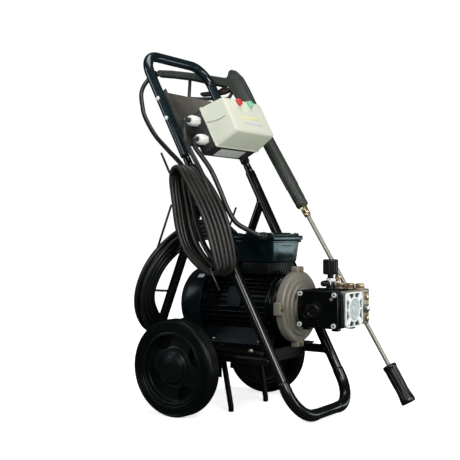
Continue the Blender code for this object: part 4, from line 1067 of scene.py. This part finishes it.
def build_bearing_cover():
    half_x, half_z, border = 0.046, 0.044, 0.003
    loops = [rounded(-half_x, half_x, -half_z, half_z, 0.01), circle(0.0282, 64)]
    for start, end in BEARING_OPENINGS:
        outer = []
        for i in range(7):
            t = math.radians(end - (end - start) * i / 6)
            outer.append(polar(min((half_x - border) / max(abs(math.cos(t)), 1e-6),
                                   (half_z - border) / max(abs(math.sin(t)), 1e-6)), t))
        loops.append(arc(0.0322, math.radians(start), math.radians(end), 6) + outer)
    plate = Kit().prism(loops, 0.0026, BEARING, 0.0004, 2)
    for x in (-0.0385, 0.0385):
        for y in (-0.0365, 0.0365):
            plate.turn([(0, 0), (0.0056, 0), (0.0052, 0.0034), (0.003, 0.0038),
                        (0.0026, 0.0026), (0, 0.0026)], BEARING @ at(x, y), 28, 0.0005, 2)
    plate.make("bearing_cover_plate", "silver", "silver", "front_bearing_cover")
    dial = Kit().turn([(0, -0.002), (0.0278, -0.002), (0.0278, 0.0012), (0.0255, 0.002),
                       (0.0235, 0.0012), (0.012, 0.0012), (0.01, 0.0022), (0.006, 0.0022),
                       (0, 0.0026)], BEARING, 72, 0.0006)
    for k in range(16):
        dial.block((0.0128, -0.0009, 0.0008), (0.0228, 0.0009, 0.0019), 0.0003, 1,
                   BEARING @ Matrix.Rotation(math.tau * k / 16, 4, "Z"))
    dial.make("bearing_cover_dial", "dial", "silver")
    # a dark sheet behind the openings of the bearing cover: painted shade
    Kit().prism([rounded(-0.044, 0.044, -0.042, 0.042, 0.009)], 0.0008,
                facing_front(BEARING_X, -0.3968, BEARING_Z)).make(
        "bearing_cover_shade_sheet", "dark_screws_and_shade", "pump")
    rim = Kit().block((-0.04, -0.3968, 0.324), (0.056, -0.379, 0.33), 0.0015)
    rim.block((0.048, -0.3968, 0.24), (0.06, -0.379, 0.326), 0.0015)
    rim.make("pump_front_rim", "manifold", "pump")


def build_manifold():
    head = Kit().block((0.0603, -0.39, 0.2365), (0.119, -0.275, 0.3212), 0.0045, 4)
    head.block((0.064, -0.388, 0.316), (0.123, -0.279, 0.329), 0.003, 4)
    caps, side_caps = Kit(), Kit()
    for y in PLUNGER_Y:
        upright, sideways = at(VALVE_X, y), axis_matrix((0, y, MOTOR_Z), X)
        head.disc(0.015, 0.11, 0.1215, sideways, 48, 0.0015)
        head.disc(0.0152, 0.326, 0.3312, upright, 48, 0.0012)
        caps.hexagon(0.0138, 0.33, 0.342, upright, 0.0011)
        caps.turn([(0, 0.3415), (0.0104, 0.3415), (0.0096, 0.3434), (0, 0.3436)],
                  upright, 32, 0.0005, 2)
        side_caps.hexagon(0.0128, 0.1212, 0.129, sideways, 0.001)
    head.make("pump_head", "manifold", "flange", "pump_manifold")
    caps.make("valve_caps", "cap_metal", "brass", "valve_cap_1", "valve_cap_2", "valve_cap_3")
    side_caps.make("delivery_valve_caps", "steel", "brass")
    way = axis_matrix((0.095, 0, 0.278), -Y)
    inlet = Kit().hexagon(0.0112, 0.39, 0.3965, way, 0.0009)
    inlet.turn([(0, 0.396), (0.0082, 0.396), (0.0082, 0.3995), (0, 0.4)], way, 36, 0.0008)
    inlet.make("inlet_union", "steel", "steel", "inlet_fitting")
    plugs = Kit()
    for z in (0.308, 0.252):
        plugs.hexagon(0.0085, 0.3895, 0.3945, axis_matrix((0.102, 0, z), -Y), 0.0008)
    plugs.make("manifold_plugs", "brass", "brass")


UNLOADER_X, UNLOADER_Y = 0.09, -0.289
KNOB_R = 0.0207
KNOB_PROFILE = [
    (0, 0.365), (0.0165, 0.365), (0.019, 0.3662), (0.0205, 0.3682), (KNOB_R, 0.37),
    (KNOB_R, 0.378), (KNOB_R, 0.386), (KNOB_R, 0.394), (KNOB_R, 0.401), (0.0203, 0.4036),
    (0.0192, 0.4052), (0.0165, 0.406), (0.015, 0.4054), (0.008, 0.4054), (0.0065, 0.4062),
    (0, 0.4065)]


def knob_ribs(radius, height, angle):
    if radius > 0.0196 and 0.367 < height < 0.4035:
        return radius - 0.0022 * (0.5 + 0.5 * math.cos(16 * angle)) ** 2
    return radius


def build_unloader():
    stand = at(UNLOADER_X, UNLOADER_Y)
    bypass = axis_matrix((UNLOADER_X, UNLOADER_Y, 0.3422), -X)
    stem = Kit().turn([(0, 0.3216), (0.0125, 0.3216), (0.0125, 0.337), (0.0112, 0.338),
                       (0.0112, 0.346), (0, 0.346)], stand, 40, 0.0008)
    stem.hexagon(0.0142, 0.324, 0.333, stand, 0.001)
    stem.disc(0.0085, 0.3545, 0.3647, stand, 36, 0.0006, 2)
    stem.make("unloader_stem", "knob", "brass", "unloader_body")
    nut = Kit().hexagon(0.0135, 0.3462, 0.3548, stand, 0.0012)
    nut.disc(0.0072, 0.004, 0.0175, bypass, 32, 0.0006, 2)
    nut.make("unloader_nut", "silver", "brass")
    Kit().turn([(0, 0.015), (0.0072, 0.015), (0.0082, 0.018), (0.0082, 0.04),
                (0.0066, 0.0455), (0, 0.047)], bypass, 36, 0.0012).make(
        "unloader_bypass_cap", "knob", "knob")
    knob = Kit().lathe(KNOB_PROFILE, stand, 176, wave=knob_ribs)
    knob.block((0.002, -0.0011, 0.405), (0.0145, 0.0011, 0.4063), 0.0004, 2, stand)
    knob.make("regulator_knob_ribbed", "knob", "knob", "regulator_knob", body="knob", sharp=50)


def build_outlet():
    stand = at(0.1145, -0.298)
    union = Kit().turn([(0, 0.3216), (0.01, 0.3216), (0.01, 0.344), (0.007, 0.346),
                        (0, 0.346)], stand, 36, 0.0008)
    union.hexagon(0.0118, 0.329, 0.34, stand, 0.0009)
    union.make("outlet_union", "silver", "brass", "outlet_fitting")
    Kit().turn([(0, 0.3455), (0.0062, 0.3455), (0.0062, 0.352), (0.0076, 0.353),
                (0.0076, 0.361), (0.0052, 0.3645), (0, 0.3645)], stand, 32, 0.0007).make(
        "outlet_plug", "brass", "brass")


# ---------------------------------------------------------------- starter box
# All in rail coordinates: x, along the rail, off the rail.
BUTTON_S = 0.8475
# name, x, material, body
BUTTONS = (("stop_button", -0.026, "red", "stop"), ("start_button", 0.029, "green", "start"))
COVER_LOW, COVER_HIGH = 0.073, 0.148
COVER_LEFT, COVER_TAPER = -0.103, 0.015  # left edge at the base, what it draws in to the top
GLANDS = (("upper", 0.84), ("lower", 0.781))


def cover_body(inset, low, high):
    """The tapered body of the cover, its upper edges rounded."""
    part = bmesh.new()
    bmesh.ops.create_cube(part, size=1)
    for v in part.verts:
        if v.co.z > 0:
            left, right, bottom, top = COVER_LEFT + COVER_TAPER, 0.098, 0.755, 0.862
        else:
            left, right, bottom, top = COVER_LEFT, 0.106, 0.746, 0.8685
        v.co = (left + inset if v.co.x < 0 else right - inset,
                bottom + inset if v.co.y < 0 else top - inset,
                high if v.co.z > 0 else low)
    upper = [e for e in part.edges if max(v.co.z for v in e.verts) > (low + high) / 2]
    bevel_edges(part, upper, 0.0085, 7)
    return Kit().take(part, RAIL)


def build_starter_box():
    dress("switch_base", "charcoal", 0.0009, 2)
    Kit().prism([rounded(-0.1022, 0.1032, 0.747, 0.8675, 0.006),
                 rounded(-0.0985, 0.099, 0.7505, 0.864, 0.004)], 0.0022,
                rail_matrix(0, 0, 0.0705), 0.0008, 2).make(
        "starter_base_rim", "charcoal", "charcoal")
    holes = Kit()
    for _, x, _, _ in BUTTONS:
        holes.lathe([(0, 0.13), (0.0108, 0.13), (0.0108, 0.16), (0, 0.16)],
                    rail_matrix(x, BUTTON_S), 48)
    cover_body(0, COVER_LOW, COVER_HIGH).make(
        "starter_cover", "cream", "cream", "switch_cover",
        cutters=(cover_body(0.003, 0.065, COVER_HIGH - 0.003), holes), sharp=32)
    Kit().prism([rounded(-0.1036, 0.1066, 0.7455, 0.8691, 0.005),
                 rounded(-0.1005, 0.1035, 0.7488, 0.866, 0.0035)], 0.0018,
                rail_matrix(0, 0, 0.0752), 0.0007, 2).make(
        "starter_cover_lip", "cream", "cream")


def build_buttons():
    bezels = Kit()
    for name, x, color, body in BUTTONS:
        way = rail_matrix(x, BUTTON_S)
        Kit().turn([(0, 0.138), (0.0102, 0.138), (0.0102, 0.1562), (0.0092, 0.158),
                    (0, 0.1572)], way, 56, 0.0012, 4).make(
            name + "_cap", color, color, name, body=body)
        bezels.turn([(0.0108, 0.147), (0.0132, 0.147), (0.0128, 0.1496), (0.0112, 0.15)],
                    way, 56, 0.0006, closed=True)
    bezels.make("button_bezels", "cream", "cream")


def build_cover_marks():
    for tag, s, half, corner, color in (("upper", 0.8015, 0.003, 0.0012, "yellow"),
                                        ("lower", 0.7822, 0.0026, 0.0011, "lilac")):
        Kit().prism([rounded(-0.04, 0.05, -half, half, corner, 3)], 0.0004,
                    rail_matrix(0, s, 0.1482), 0.0002, 1).make(
            "cover_strip_" + tag, color, "cream")
    # a raised line on the left wall of the cover
    height = COVER_HIGH - COVER_LOW
    outward = RAIL.to_3x3() @ Vector((-height, 0, COVER_TAPER)).normalized()
    line = []
    for i in range(15):
        t = i / 14
        off = 0.078 + 0.054 * t
        s = 0.8197 - 0.0107 * t - 0.004 * math.sin(math.pi * t)
        x = COVER_LEFT + COVER_TAPER * (off - COVER_LOW) / height
        line.append(rail(x, s, off) + outward * 0.0001)
    Kit().tube(line, 0.0009, 8).make("cover_side_line", "line", "cream")
    Kit().prism([rounded(-0.064, 0.056, -0.0165, 0.0165, 0.002, 3)], 0.0004,
                frame_matrix(rail(0, 0.7477, 0.047), X, OFF, -ALONG), 0.0002, 1).make(
        "base_blank_label", "label", "white")
    screws = Kit()
    for x in (-0.085, 0.085):
        screws.turn([(0, 0), (0.004, 0), (0.0038, 0.001), (0, 0.0016)],
                    frame_matrix(rail(x, 0.8662, 0.045), X, -OFF, ALONG), 24, 0.0004, 2)
    screws.make("base_screws", "zinc", "steel")


def gland_ribs(radius, height, angle):
    if radius > 0.0138 and 0.11 < height < 0.126:
        return radius + 0.0004 * math.cos(14 * angle)
    return radius


def build_glands():
    for tag, s in GLANDS:
        way = axis_matrix(rail(0, s, 0.05), -X)
        gland = Kit().hexagon(0.015, 0.1013, 0.109, way, 0.001)
        gland.turn([(0, 0.1085), (0.0142, 0.1085), (0.0142, 0.126), (0.0132, 0.132),
                    (0.0108, 0.1365), (0.0072, 0.137), (0, 0.137)], way, 64, 0.0016, 4,
                   wave=gland_ribs)
        gland.make("cable_gland_" + tag + "_nut", "white", "white", "cable_gland_" + tag)


# ---------------------------------------------------------------- cables
CABLE_R = 0.0065
COIL_CENTRE = rail(-0.198, 0.5596, 0.005)
COIL_SWAY = math.radians(3)
COIL_LONG = ALONG * math.cos(COIL_SWAY) + OFF * math.sin(COIL_SWAY)
COIL_WIDE = OFF * math.cos(COIL_SWAY) - ALONG * math.sin(COIL_SWAY)
OUTER_TURNS = 6
# x, half width, shift and belly of the three smaller turns
INNER_TURNS = ((-0.006, 0.0235, 0.0005, 0.021), (0.008, 0.0235, 0.003, 0.012),
               (0.0215, 0.029, 0.004, 0.013))


def coil_turn(half_length, half_width, shift, x, seed, tilt, belly=0.024):
    """One hanging turn of cable: a long rounded loop, a little irregular."""
    wobble, count, out = 0.001, 96, []
    for i in range(count):
        t = math.tau * i / count
        c, s = math.cos(t), math.sin(t)
        length = half_length * math.copysign(abs(c) ** 0.92, c)
        width = half_width * math.copysign(abs(s) ** 0.8, s) + shift * (1 - 0.85 * abs(c) ** 3)
        width -= belly * max(0.0, -s) * math.exp(-((c + 0.3) / 0.62) ** 2)
        width += 0.3 * belly * max(0.0, s) * math.exp(-((c + 0.05) / 0.6) ** 2)
        v = Vector((c * 1.5, s * 1.5, seed * 7.3))
        dx = noise.noise(v) * wobble * 1.6
        width += noise.noise(v + Vector((5.1, 2.2, 9.9))) * wobble
        out.append(COIL_CENTRE + COIL_LONG * (length + 0.0015 * math.sin(seed))
                   + COIL_WIDE * width + X * (x + dx + tilt * c))
    return out


def build_cable_coil():
    coil = Kit()
    for k in range(OUTER_TURNS):
        f = k / (OUTER_TURNS - 1)  # 0 on the outside of the machine, 1 against the rail
        coil.tube(coil_turn(0.149 - 0.003 * (k % 2), 0.0305 + 0.011 * f, -0.0105 * (1 - f),
                            -0.034 + 0.064 * f, k, 0.001 * math.sin(1.3 * k)),
                  0.0062, 18, closed=True)
    for k, (x, half_width, shift, belly) in enumerate(INNER_TURNS):
        coil.tube(coil_turn(0.1365 - 0.002 * k, half_width, shift, x, k + 30, 0.001, belly),
                  0.0058, 18, closed=True)
    coil.make("cable_coil_strands", "cable", "cable", "power_cable")


def build_leads():
    upper, lower = (rail(-0.1384, s, 0.05) for _, s in GLANDS)
    power = smooth_path([
        upper + X * 0.003, upper - X * 0.004, upper + Vector((-0.02, -0.001, -0.004)),
        (-0.168, 0.012, 0.752), (-0.167, 0.008, 0.724), (-0.169, -0.01, 0.695),
        (-0.176, -0.037, 0.66), (-0.18, -0.063, 0.62), (-0.181, -0.081, 0.585),
        (-0.182, -0.1, 0.545), (-0.184, -0.119, 0.5)])
    Kit().tube(power, CABLE_R, 18).make("power_lead", "cable_side", "cable")
    motor = smooth_path([
        lower + X * 0.003, lower - X * 0.004, lower + Vector((-0.011, 0.001, -0.004)),
        (-0.154, -0.014, 0.706), (-0.151, -0.034, 0.68), (-0.145, -0.06, 0.643),
        (-0.139, -0.085, 0.59), (-0.135, -0.105, 0.543), (-0.128, -0.128, 0.505),
        (-0.11, -0.158, 0.483), (-0.094, -0.183, 0.4695), (-0.0765, -0.184, 0.4685)])
    Kit().tube(motor, CABLE_R, 20).make("motor_lead", "cable_side", "cable", "motor_cable")
    Kit().turn([(0.0066, 0), (0.0112, 0), (0.0112, 0.008), (0.0098, 0.009), (0.0098, 0.019),
                (0.0084, 0.022), (0.0066, 0.022)],
               axis_matrix((-0.0757, -0.1838, 0.4686), (-1, 0.02, 0.06)), 36, 0.0008, 2,
               closed=True).make("motor_lead_gland", "cable_side", "steel")


# ---------------------------------------------------------------- lance and gun frames
BARREL_STEP = Vector((0, 0.5247, 0.8513))
BARREL = BARREL_STEP.normalized()
TIP = Vector((0.19, -0.4729, 0.022))
LANCE = axis_matrix(TIP, BARREL)


def barrel(t):
    return TIP + BARREL_STEP * t


GRIP_WAY = Vector((-0.0643, 0.29, 0.012))
ACROSS = (GRIP_WAY - GRIP_WAY.project(BARREL)).normalized()
GUN = frame_matrix(barrel(1), BARREL, ACROSS, BARREL.cross(ACROSS))


def gun(along, across):
    """A point in the middle plane of the gun."""
    return GUN @ Vector((along, across, 0))


# ---------------------------------------------------------------- hoses
def build_hose_coil():
    """Four oval turns in two layers, hung parallel to the struts."""
    centre = Vector((0, strut_y(0.343) + 0.045, 0.343))
    normal = X.cross(STRUT_WAY)
    hose = Kit()
    for k in range(4):
        for layer in (-1, 1):
            inset = 0.004 if layer > 0 else 0
            half_x, half_up = 0.2288 - 0.014 * k - inset, 0.1778 - 0.0132 * k - inset
            points = []
            for i in range(120):
                t = math.tau * i / 120
                q = Vector((*polar(2.2, t), k * 3.7 + layer * 11))
                swell = noise.noise(q) * 0.0026
                sway = noise.noise(q + Vector((7, 3, 1))) * 0.0016
                points.append(centre + X * ((half_x + swell) * math.cos(t))
                              + STRUT_WAY * ((half_up + swell) * math.sin(t))
                              + normal * (layer * 0.0086 + sway))
            hose.tube(points, 0.0067, 14, closed=True)
    hose.make("hose_coil_turns", "hose", "hose", "pressure_hose")


def build_hose_runs():
    to_gun = smooth_path([
        gun(0.247, 0.204), gun(0.2506, 0.2104), gun(0.253, 0.226), (0.1225, 0.378, 0.9625),
        (0.109, 0.3785, 0.949), (0.088, 0.372, 0.931), (0.062, 0.357, 0.904),
        (0.0404, 0.3344, 0.8671), (0.02, 0.306, 0.827), (-0.015, 0.238, 0.765),
        (-0.05, 0.1611, 0.7145), (-0.085, 0.08, 0.66), (-0.103, 0.045, 0.6),
        (-0.098, 0.04, 0.535), (-0.085, 0.0455, 0.49)])
    Kit().tube(to_gun, 0.0068, 20).make("hose_to_gun", "hose", "hose")
    to_pump = smooth_path([
        (0.112, -0.2744, 0.305), (0.113, -0.25, 0.307), (0.115, -0.2, 0.312),
        (0.115, -0.05, 0.312), (0.115, 0.04, 0.31), (0.118, 0.085, 0.295),
        (0.115, 0.12, 0.27), (0.108, 0.1458, 0.247)])
    Kit().tube(to_pump, 0.007, 20).make("hose_to_pump", "hose", "hose")
    Kit().ring(0.0072, 0.0098, 0, 0.02,
               axis_matrix((0.112, -0.2738, 0.305), (0.001, 0.0244, 0.002)),
               36, 0.0007, 2).make("hose_ferrules", "steel", "brass")
    start = gun(0.25, 0.2092)
    Kit().turn([(0.0072, 0), (0.0104, 0), (0.0104, 0.024), (0.0088, 0.027), (0.0072, 0.027)],
               axis_matrix(start, gun(0.2524, 0.223) - start), 36, 0.0008, 2,
               closed=True).make("gun_hose_nut", "knob", "brass")


# ---------------------------------------------------------------- spray gun
# (along the barrel, across it towards the grip)
GUN_OUTLINE = [
    (-0.06, -0.02), (-0.034, -0.0225), (0.028, -0.0262), (0.075, -0.026), (0.1, -0.0195),
    (0.1125, -0.008), (0.1125, 0.002), (0.101, 0.011), (0.0985, 0.0185), (0.141, 0.064),
    (0.1845, 0.1122), (0.224, 0.1585), (0.256, 0.201), (0.239, 0.2105), (0.203, 0.166),
    (0.1662, 0.1235), (0.119, 0.077), (0.071, 0.03), (0.045, 0.0235), (-0.03, 0.0215),
    (-0.06, 0.02)]
GUARD_PATH = [(0.168, 0.1225), (0.1152, 0.1535), (0.093, 0.1235), (0.04, 0.043),
              (0.056, 0.016)]
TRIGGER_OUTLINE = [
    (0.062, 0.02), (0.072, 0.02), (0.08, 0.036), (0.081, 0.063), (0.104, 0.104),
    (0.1065, 0.113), (0.1005, 0.116), (0.094, 0.111), (0.07, 0.07), (0.06, 0.048),
    (0.057, 0.028)]
TRIGGER_PIVOT = (0.068, 0.027)
# (along, across, out) and faces of the moulding on each cheek
RIDGE_POINTS = [
    (-0.054, -0.017, 0.0122), (0.084, -0.02, 0.0122), (0.102, -0.006, 0.0122),
    (0.094, 0.008, 0.0122), (-0.054, 0.017, 0.0122), (-0.046, -0.002, 0.0158),
    (0.082, -0.005, 0.0158)]
RIDGE_FACES = [(0, 1, 2, 3, 4), (0, 5, 6, 1), (1, 6, 2), (2, 6, 3), (3, 6, 5, 4), (4, 5, 0)]
GUN_SCREWS = ((-0.036, 0), (0.04, -0.004), (0.15, 0.088), (0.232, 0.186))


def build_gun():
    slot = Kit().block((0.049, 0.013, -0.0086), (0.09, 0.075, 0.0086), 0, 1, GUN)
    Kit().prism([soft(GUN_OUTLINE, 0.01, 4, closed=True)], 0.013, GUN, 0.0042, 4).make(
        "gun_shell", "gun", "gun", "gun_body", cutters=(slot,))
    Kit().tube(fillet([gun(*p) for p in GUARD_PATH], 0.01, 8), 0.0054, 18).make(
        "gun_guard", "gun", "gun")
    mouldings, screws = Kit(), Kit()
    for side in (-1, 1):
        mouldings.mesh([GUN @ Vector((x, y, side * z)) for x, y, z in RIDGE_POINTS],
                       RIDGE_FACES)
        flip = Matrix() if side > 0 else Matrix.Rotation(math.pi, 4, "X")
        for x, y in GUN_SCREWS:
            screws.turn([(0, 0), (0.0032, 0), (0.003, 0.0008), (0, 0.0013)],
                        GUN @ at(x, y, side * 0.0128) @ flip, 20, 0.0003, 2)
    mouldings.make("gun_side_mouldings", "gun", "gun")
    screws.make("gun_screws", "knob", "steel")
    Kit().prism([soft(TRIGGER_OUTLINE, 0.006, 4, closed=True)], 0.008, GUN, 0.0022, 3).make(
        "trigger_blade", "trigger", "trigger", "trigger", body="trigger_lever")
    Kit().disc(0.0022, -0.0134, 0.0134, GUN @ at(*TRIGGER_PIVOT), 20, 0.0004, 2).make(
        "trigger_pin", "steel", "steel")


# ---------------------------------------------------------------- lance
# (radius, distance from the tip)
HANDGRIP_PROFILE = [
    (0, 0.6245), (0.016, 0.6245), (0.018, 0.629), (0.018, 0.636), (0.0174, 0.6385),
    (0.0174, 0.644), (0.0182, 0.647), (0.0196, 0.926), (0.02, 0.929), (0.02, 0.935),
    (0.0186, 0.939), (0, 0.939)]
SLEEVE_PROFILE = [
    (0.0068, 0.008), (0.0068, 0.113), (0.015, 0.113), (0.0182, 0.1122), (0.0192, 0.11),
    (0.0196, 0.1075), (0.0192, 0.104), (0.0182, 0.1015), (0.018, 0.098), (0.0182, 0.086),
    (0.018, 0.07), (0.0178, 0.055), (0.0174, 0.043), (0.0176, 0.034), (0.0184, 0.024),
    (0.0196, 0.016), (0.0203, 0.01), (0.0204, 0.005), (0.02, 0.0022), (0.0186, 0.0008),
    (0.0165, 0.0003), (0.0145, 0.001), (0.0125, 0.0035), (0.011, 0.006)]


def sleeve_flutes(radius, height, angle):
    if radius > 0.016 and 0.014 < height < 0.1:
        return radius - 0.0017 * max(0.0, math.cos(9 * angle)) ** 2
    return radius


def build_lance():
    grip = Kit().turn(HANDGRIP_PROFILE, LANCE, 64, 0.0016, 4)
    for k in range(12):
        grip.block((0.017, -0.001, 0.69), (0.0196, 0.001, 0.89), 0.0005, 2,
                   LANCE @ Matrix.Rotation(math.tau * k / 12, 4, "Z"))
    grip.make("lance_handgrip", "gun", "gun", "lance_grip")
    screws = Kit()
    for t in (0.655, 0.905):
        for side in (-1, 1):
            out = X * side
            screws.turn([(0, 0.0168), (0.003, 0.0168), (0.0028, 0.0192), (0, 0.0194)],
                        frame_matrix(barrel(t), BARREL, BARREL.cross(out), out),
                        20, 0.0003, 2)
    screws.make("handgrip_screws", "dark_screws_and_shade", "steel")
    nut = Kit().hexagon(0.0115, 0.6, 0.6238, LANCE, 0.001)
    nut.turn([(0, 0.5915), (0.0085, 0.5915), (0.0098, 0.5935), (0.0098, 0.601), (0, 0.601)],
             LANCE, 40, 0.0008)
    nut.make("lance_union_nut", "brass", "brass", "lance_nut")
    Kit().lathe([(0, 0.03), (0.006, 0.03), (0.006, 0.3), (0.006, 0.591), (0, 0.591)],
                LANCE, 32).make("lance_pipe", "lance", "steel", "lance_tube")
    Kit().lathe(SLEEVE_PROFILE, LANCE, 144, closed=True, wave=sleeve_flutes).make(
        "nozzle_sleeve_fluted", "grip", "rubber", "nozzle_sleeve", body="nozzle", sharp=50)
    Kit().turn([(0, 0.012), (0.0045, 0.012), (0.006, 0.016), (0.006, 0.03), (0, 0.03)],
               LANCE, 28, 0.0006, 2).make("nozzle_tip", "brass", "brass")


def dress_inner_pieces():
    for node in ("stator_core", "rotor_core"):
        dress(node, "core", 0)
    for node in ("motor_shaft", "front_bearing", "rear_bearing", "crankshaft",
                 "plunger_1", "plunger_2", "plunger_3"):
        dress(node, "steel", 0)
    dress("cooling_fan", "knob", 0.0004, 1)
    dress("contactor", "charcoal", 0.0008)


# ---------------------------------------------------------------- studio
def split_by_ray(tree, lighting, reflected, seen, output):
    """Uses one shader as light, one in glossy reflections and one for the camera."""
    rays = add_node(tree, "LightPath")
    inner = add_node(tree, "MixShader", {
        "Fac": rays.outputs["Is Glossy Ray"], 1: lighting.outputs[0],
        2: reflected.outputs[0]})
    outer = add_node(tree, "MixShader", {
        "Fac": rays.outputs["Is Camera Ray"], 1: inner.outputs[0], 2: seen.outputs[0]})
    tree.links.new(outer.outputs[0], tree.nodes[output].inputs["Surface"])


def build_floor():
    half, z = 30, -0.0004
    mesh = bpy.data.meshes.new("floor")
    mesh.from_pydata([(-half, -half, z), (half, -half, z), (half, half, z), (-half, half, z)],
                     [], [(0, 1, 2, 3)])
    floor = bpy.data.objects.new("floor", mesh)
    bpy.context.scene.collection.objects.link(floor)
    material = bpy.data.materials.new("floor_pale")
    material.use_nodes = True
    tree = material.node_tree
    shader = tree.nodes["Principled BSDF"]
    for key, value in (("Base Color", (0.9, 0.9, 0.9, 1)), ("Roughness", 0.9),
                       ("Specular IOR Level", 0.1), ("Emission Color", (1, 1, 1, 1)),
                       ("Emission Strength", 0.8)):
        shader.inputs[key].default_value = value
    # the glow grows with the distance from the origin and takes over the strength
    place = add_node(tree, "NewGeometry").outputs["Position"]
    distance = add_node(tree, "VectorMath", {0: place}, operation="LENGTH")
    fade = add_node(tree, "MapRange", {
        "Value": distance.outputs["Value"], "From Min": 0.5, "From Max": 2.4,
        "To Min": 0.72, "To Max": 1.02})
    tree.links.new(fade.outputs["Result"], shader.inputs["Emission Strength"])
    bounce = add_node(tree, "BsdfDiffuse", {"Color": (0.58, 0.61, 0.54, 1)})
    mirror = add_node(tree, "BsdfDiffuse", {"Color": (0.06, 0.066, 0.066, 1)})
    split_by_ray(tree, lighting=bounce, reflected=mirror, seen=shader,
                 output="Material Output")
    mesh.materials.append(material)


def build_world():
    world = bpy.data.worlds.new("studio")
    bpy.context.scene.world = world
    world.use_nodes = True
    tree = world.node_tree
    ambient = tree.nodes["Background"]
    ambient.inputs["Color"].default_value = (0.93, 0.98, 1, 1)
    ambient.inputs["Strength"].default_value = 0.14
    gloom = add_node(tree, "Background", {"Color": (0.85, 0.97, 1, 1), "Strength": 0.035})
    white = add_node(tree, "Background", {"Color": (1, 1, 1, 1), "Strength": 1.05})
    split_by_ray(tree, lighting=ambient, reflected=gloom, seen=white, output="World Output")


def softbox(name, place, target, size, power, color=(1, 1, 1)):
    light = bpy.data.lights.new(name, "AREA")
    light.shape, light.energy, light.color = "RECTANGLE", power, color
    light.size, light.size_y = size
    obj = bpy.data.objects.new(name, light)
    bpy.context.scene.collection.objects.link(obj)
    obj.location = Vector(place) + CARRY
    obj.rotation_euler = (Vector(target) - Vector(place)).to_track_quat("-Z", "Y").to_euler()


def build_lights():
    softbox("key", place=(-1.7, -2.4, 1.9), target=(0, -0.1, 0.5), size=(1.2, 1.2),
            power=52, color=(1, 1, 0.98))
    softbox("front", place=(0.3, -3, 1.1), target=(0, -0.1, 0.45), size=(0.8, 1.8), power=26)
    softbox("side", place=(-2.9, -0.35, 1.55), target=(0, 0, 0.5), size=(0.7, 1.2),
            power=18, color=(0.93, 0.98, 1))
    softbox("back_left", place=(-2, 2.1, 1.5), target=(0, 0, 0.45), size=(0.7, 1.6),
            power=16, color=(0.86, 0.95, 1))
    softbox("top", place=(0, 0, 3), target=(0, 0, 0.4), size=(1.6, 1.6), power=32)
    softbox("low_right", place=(2.3, -1.95, 0.15), target=(0, -0.15, 0.42), size=(1.6, 0.7),
            power=12, color=(0.86, 0.96, 1))


def build_camera():
    camera = bpy.data.cameras.new("camera")
    camera.sensor_width, camera.lens = 36, 68.68
    camera.clip_start, camera.clip_end = 0.01, 200
    obj = bpy.data.objects.new("camera", camera)
    bpy.context.scene.collection.objects.link(obj)
    obj.location = Vector((-2.01502, -1.41720, 0.48376)) + CARRY
    obj.rotation_mode = "QUATERNION"
    view = Vector((0.82186, 0.56970, 0.0006))
    obj.rotation_quaternion = view.to_track_quat("-Z", "Y")
    bpy.context.scene.camera = obj
    bpy.context.scene.view_settings.view_transform = "Standard"


build_frame()
build_handle()
build_foot_sleeves()
build_stand_and_plates()
for wheel_side, wheel_tag in SIDES:
    build_wheel(wheel_side, wheel_tag)
build_motor_shell()
build_fan_cowl()
build_motor_plates()
build_flange()
build_terminal_box()
build_terminal_front()
build_crankcase()
build_pump_side_lid()
build_bearing_cover()
build_manifold()
build_unloader()
build_outlet()
build_starter_box()
build_buttons()
build_cover_marks()
build_glands()
build_cable_coil()
build_leads()
build_hose_coil()
build_hose_runs()
build_gun()
build_lance()
dress_inner_pieces()
build_floor()
build_world()
build_lights()
build_camera()
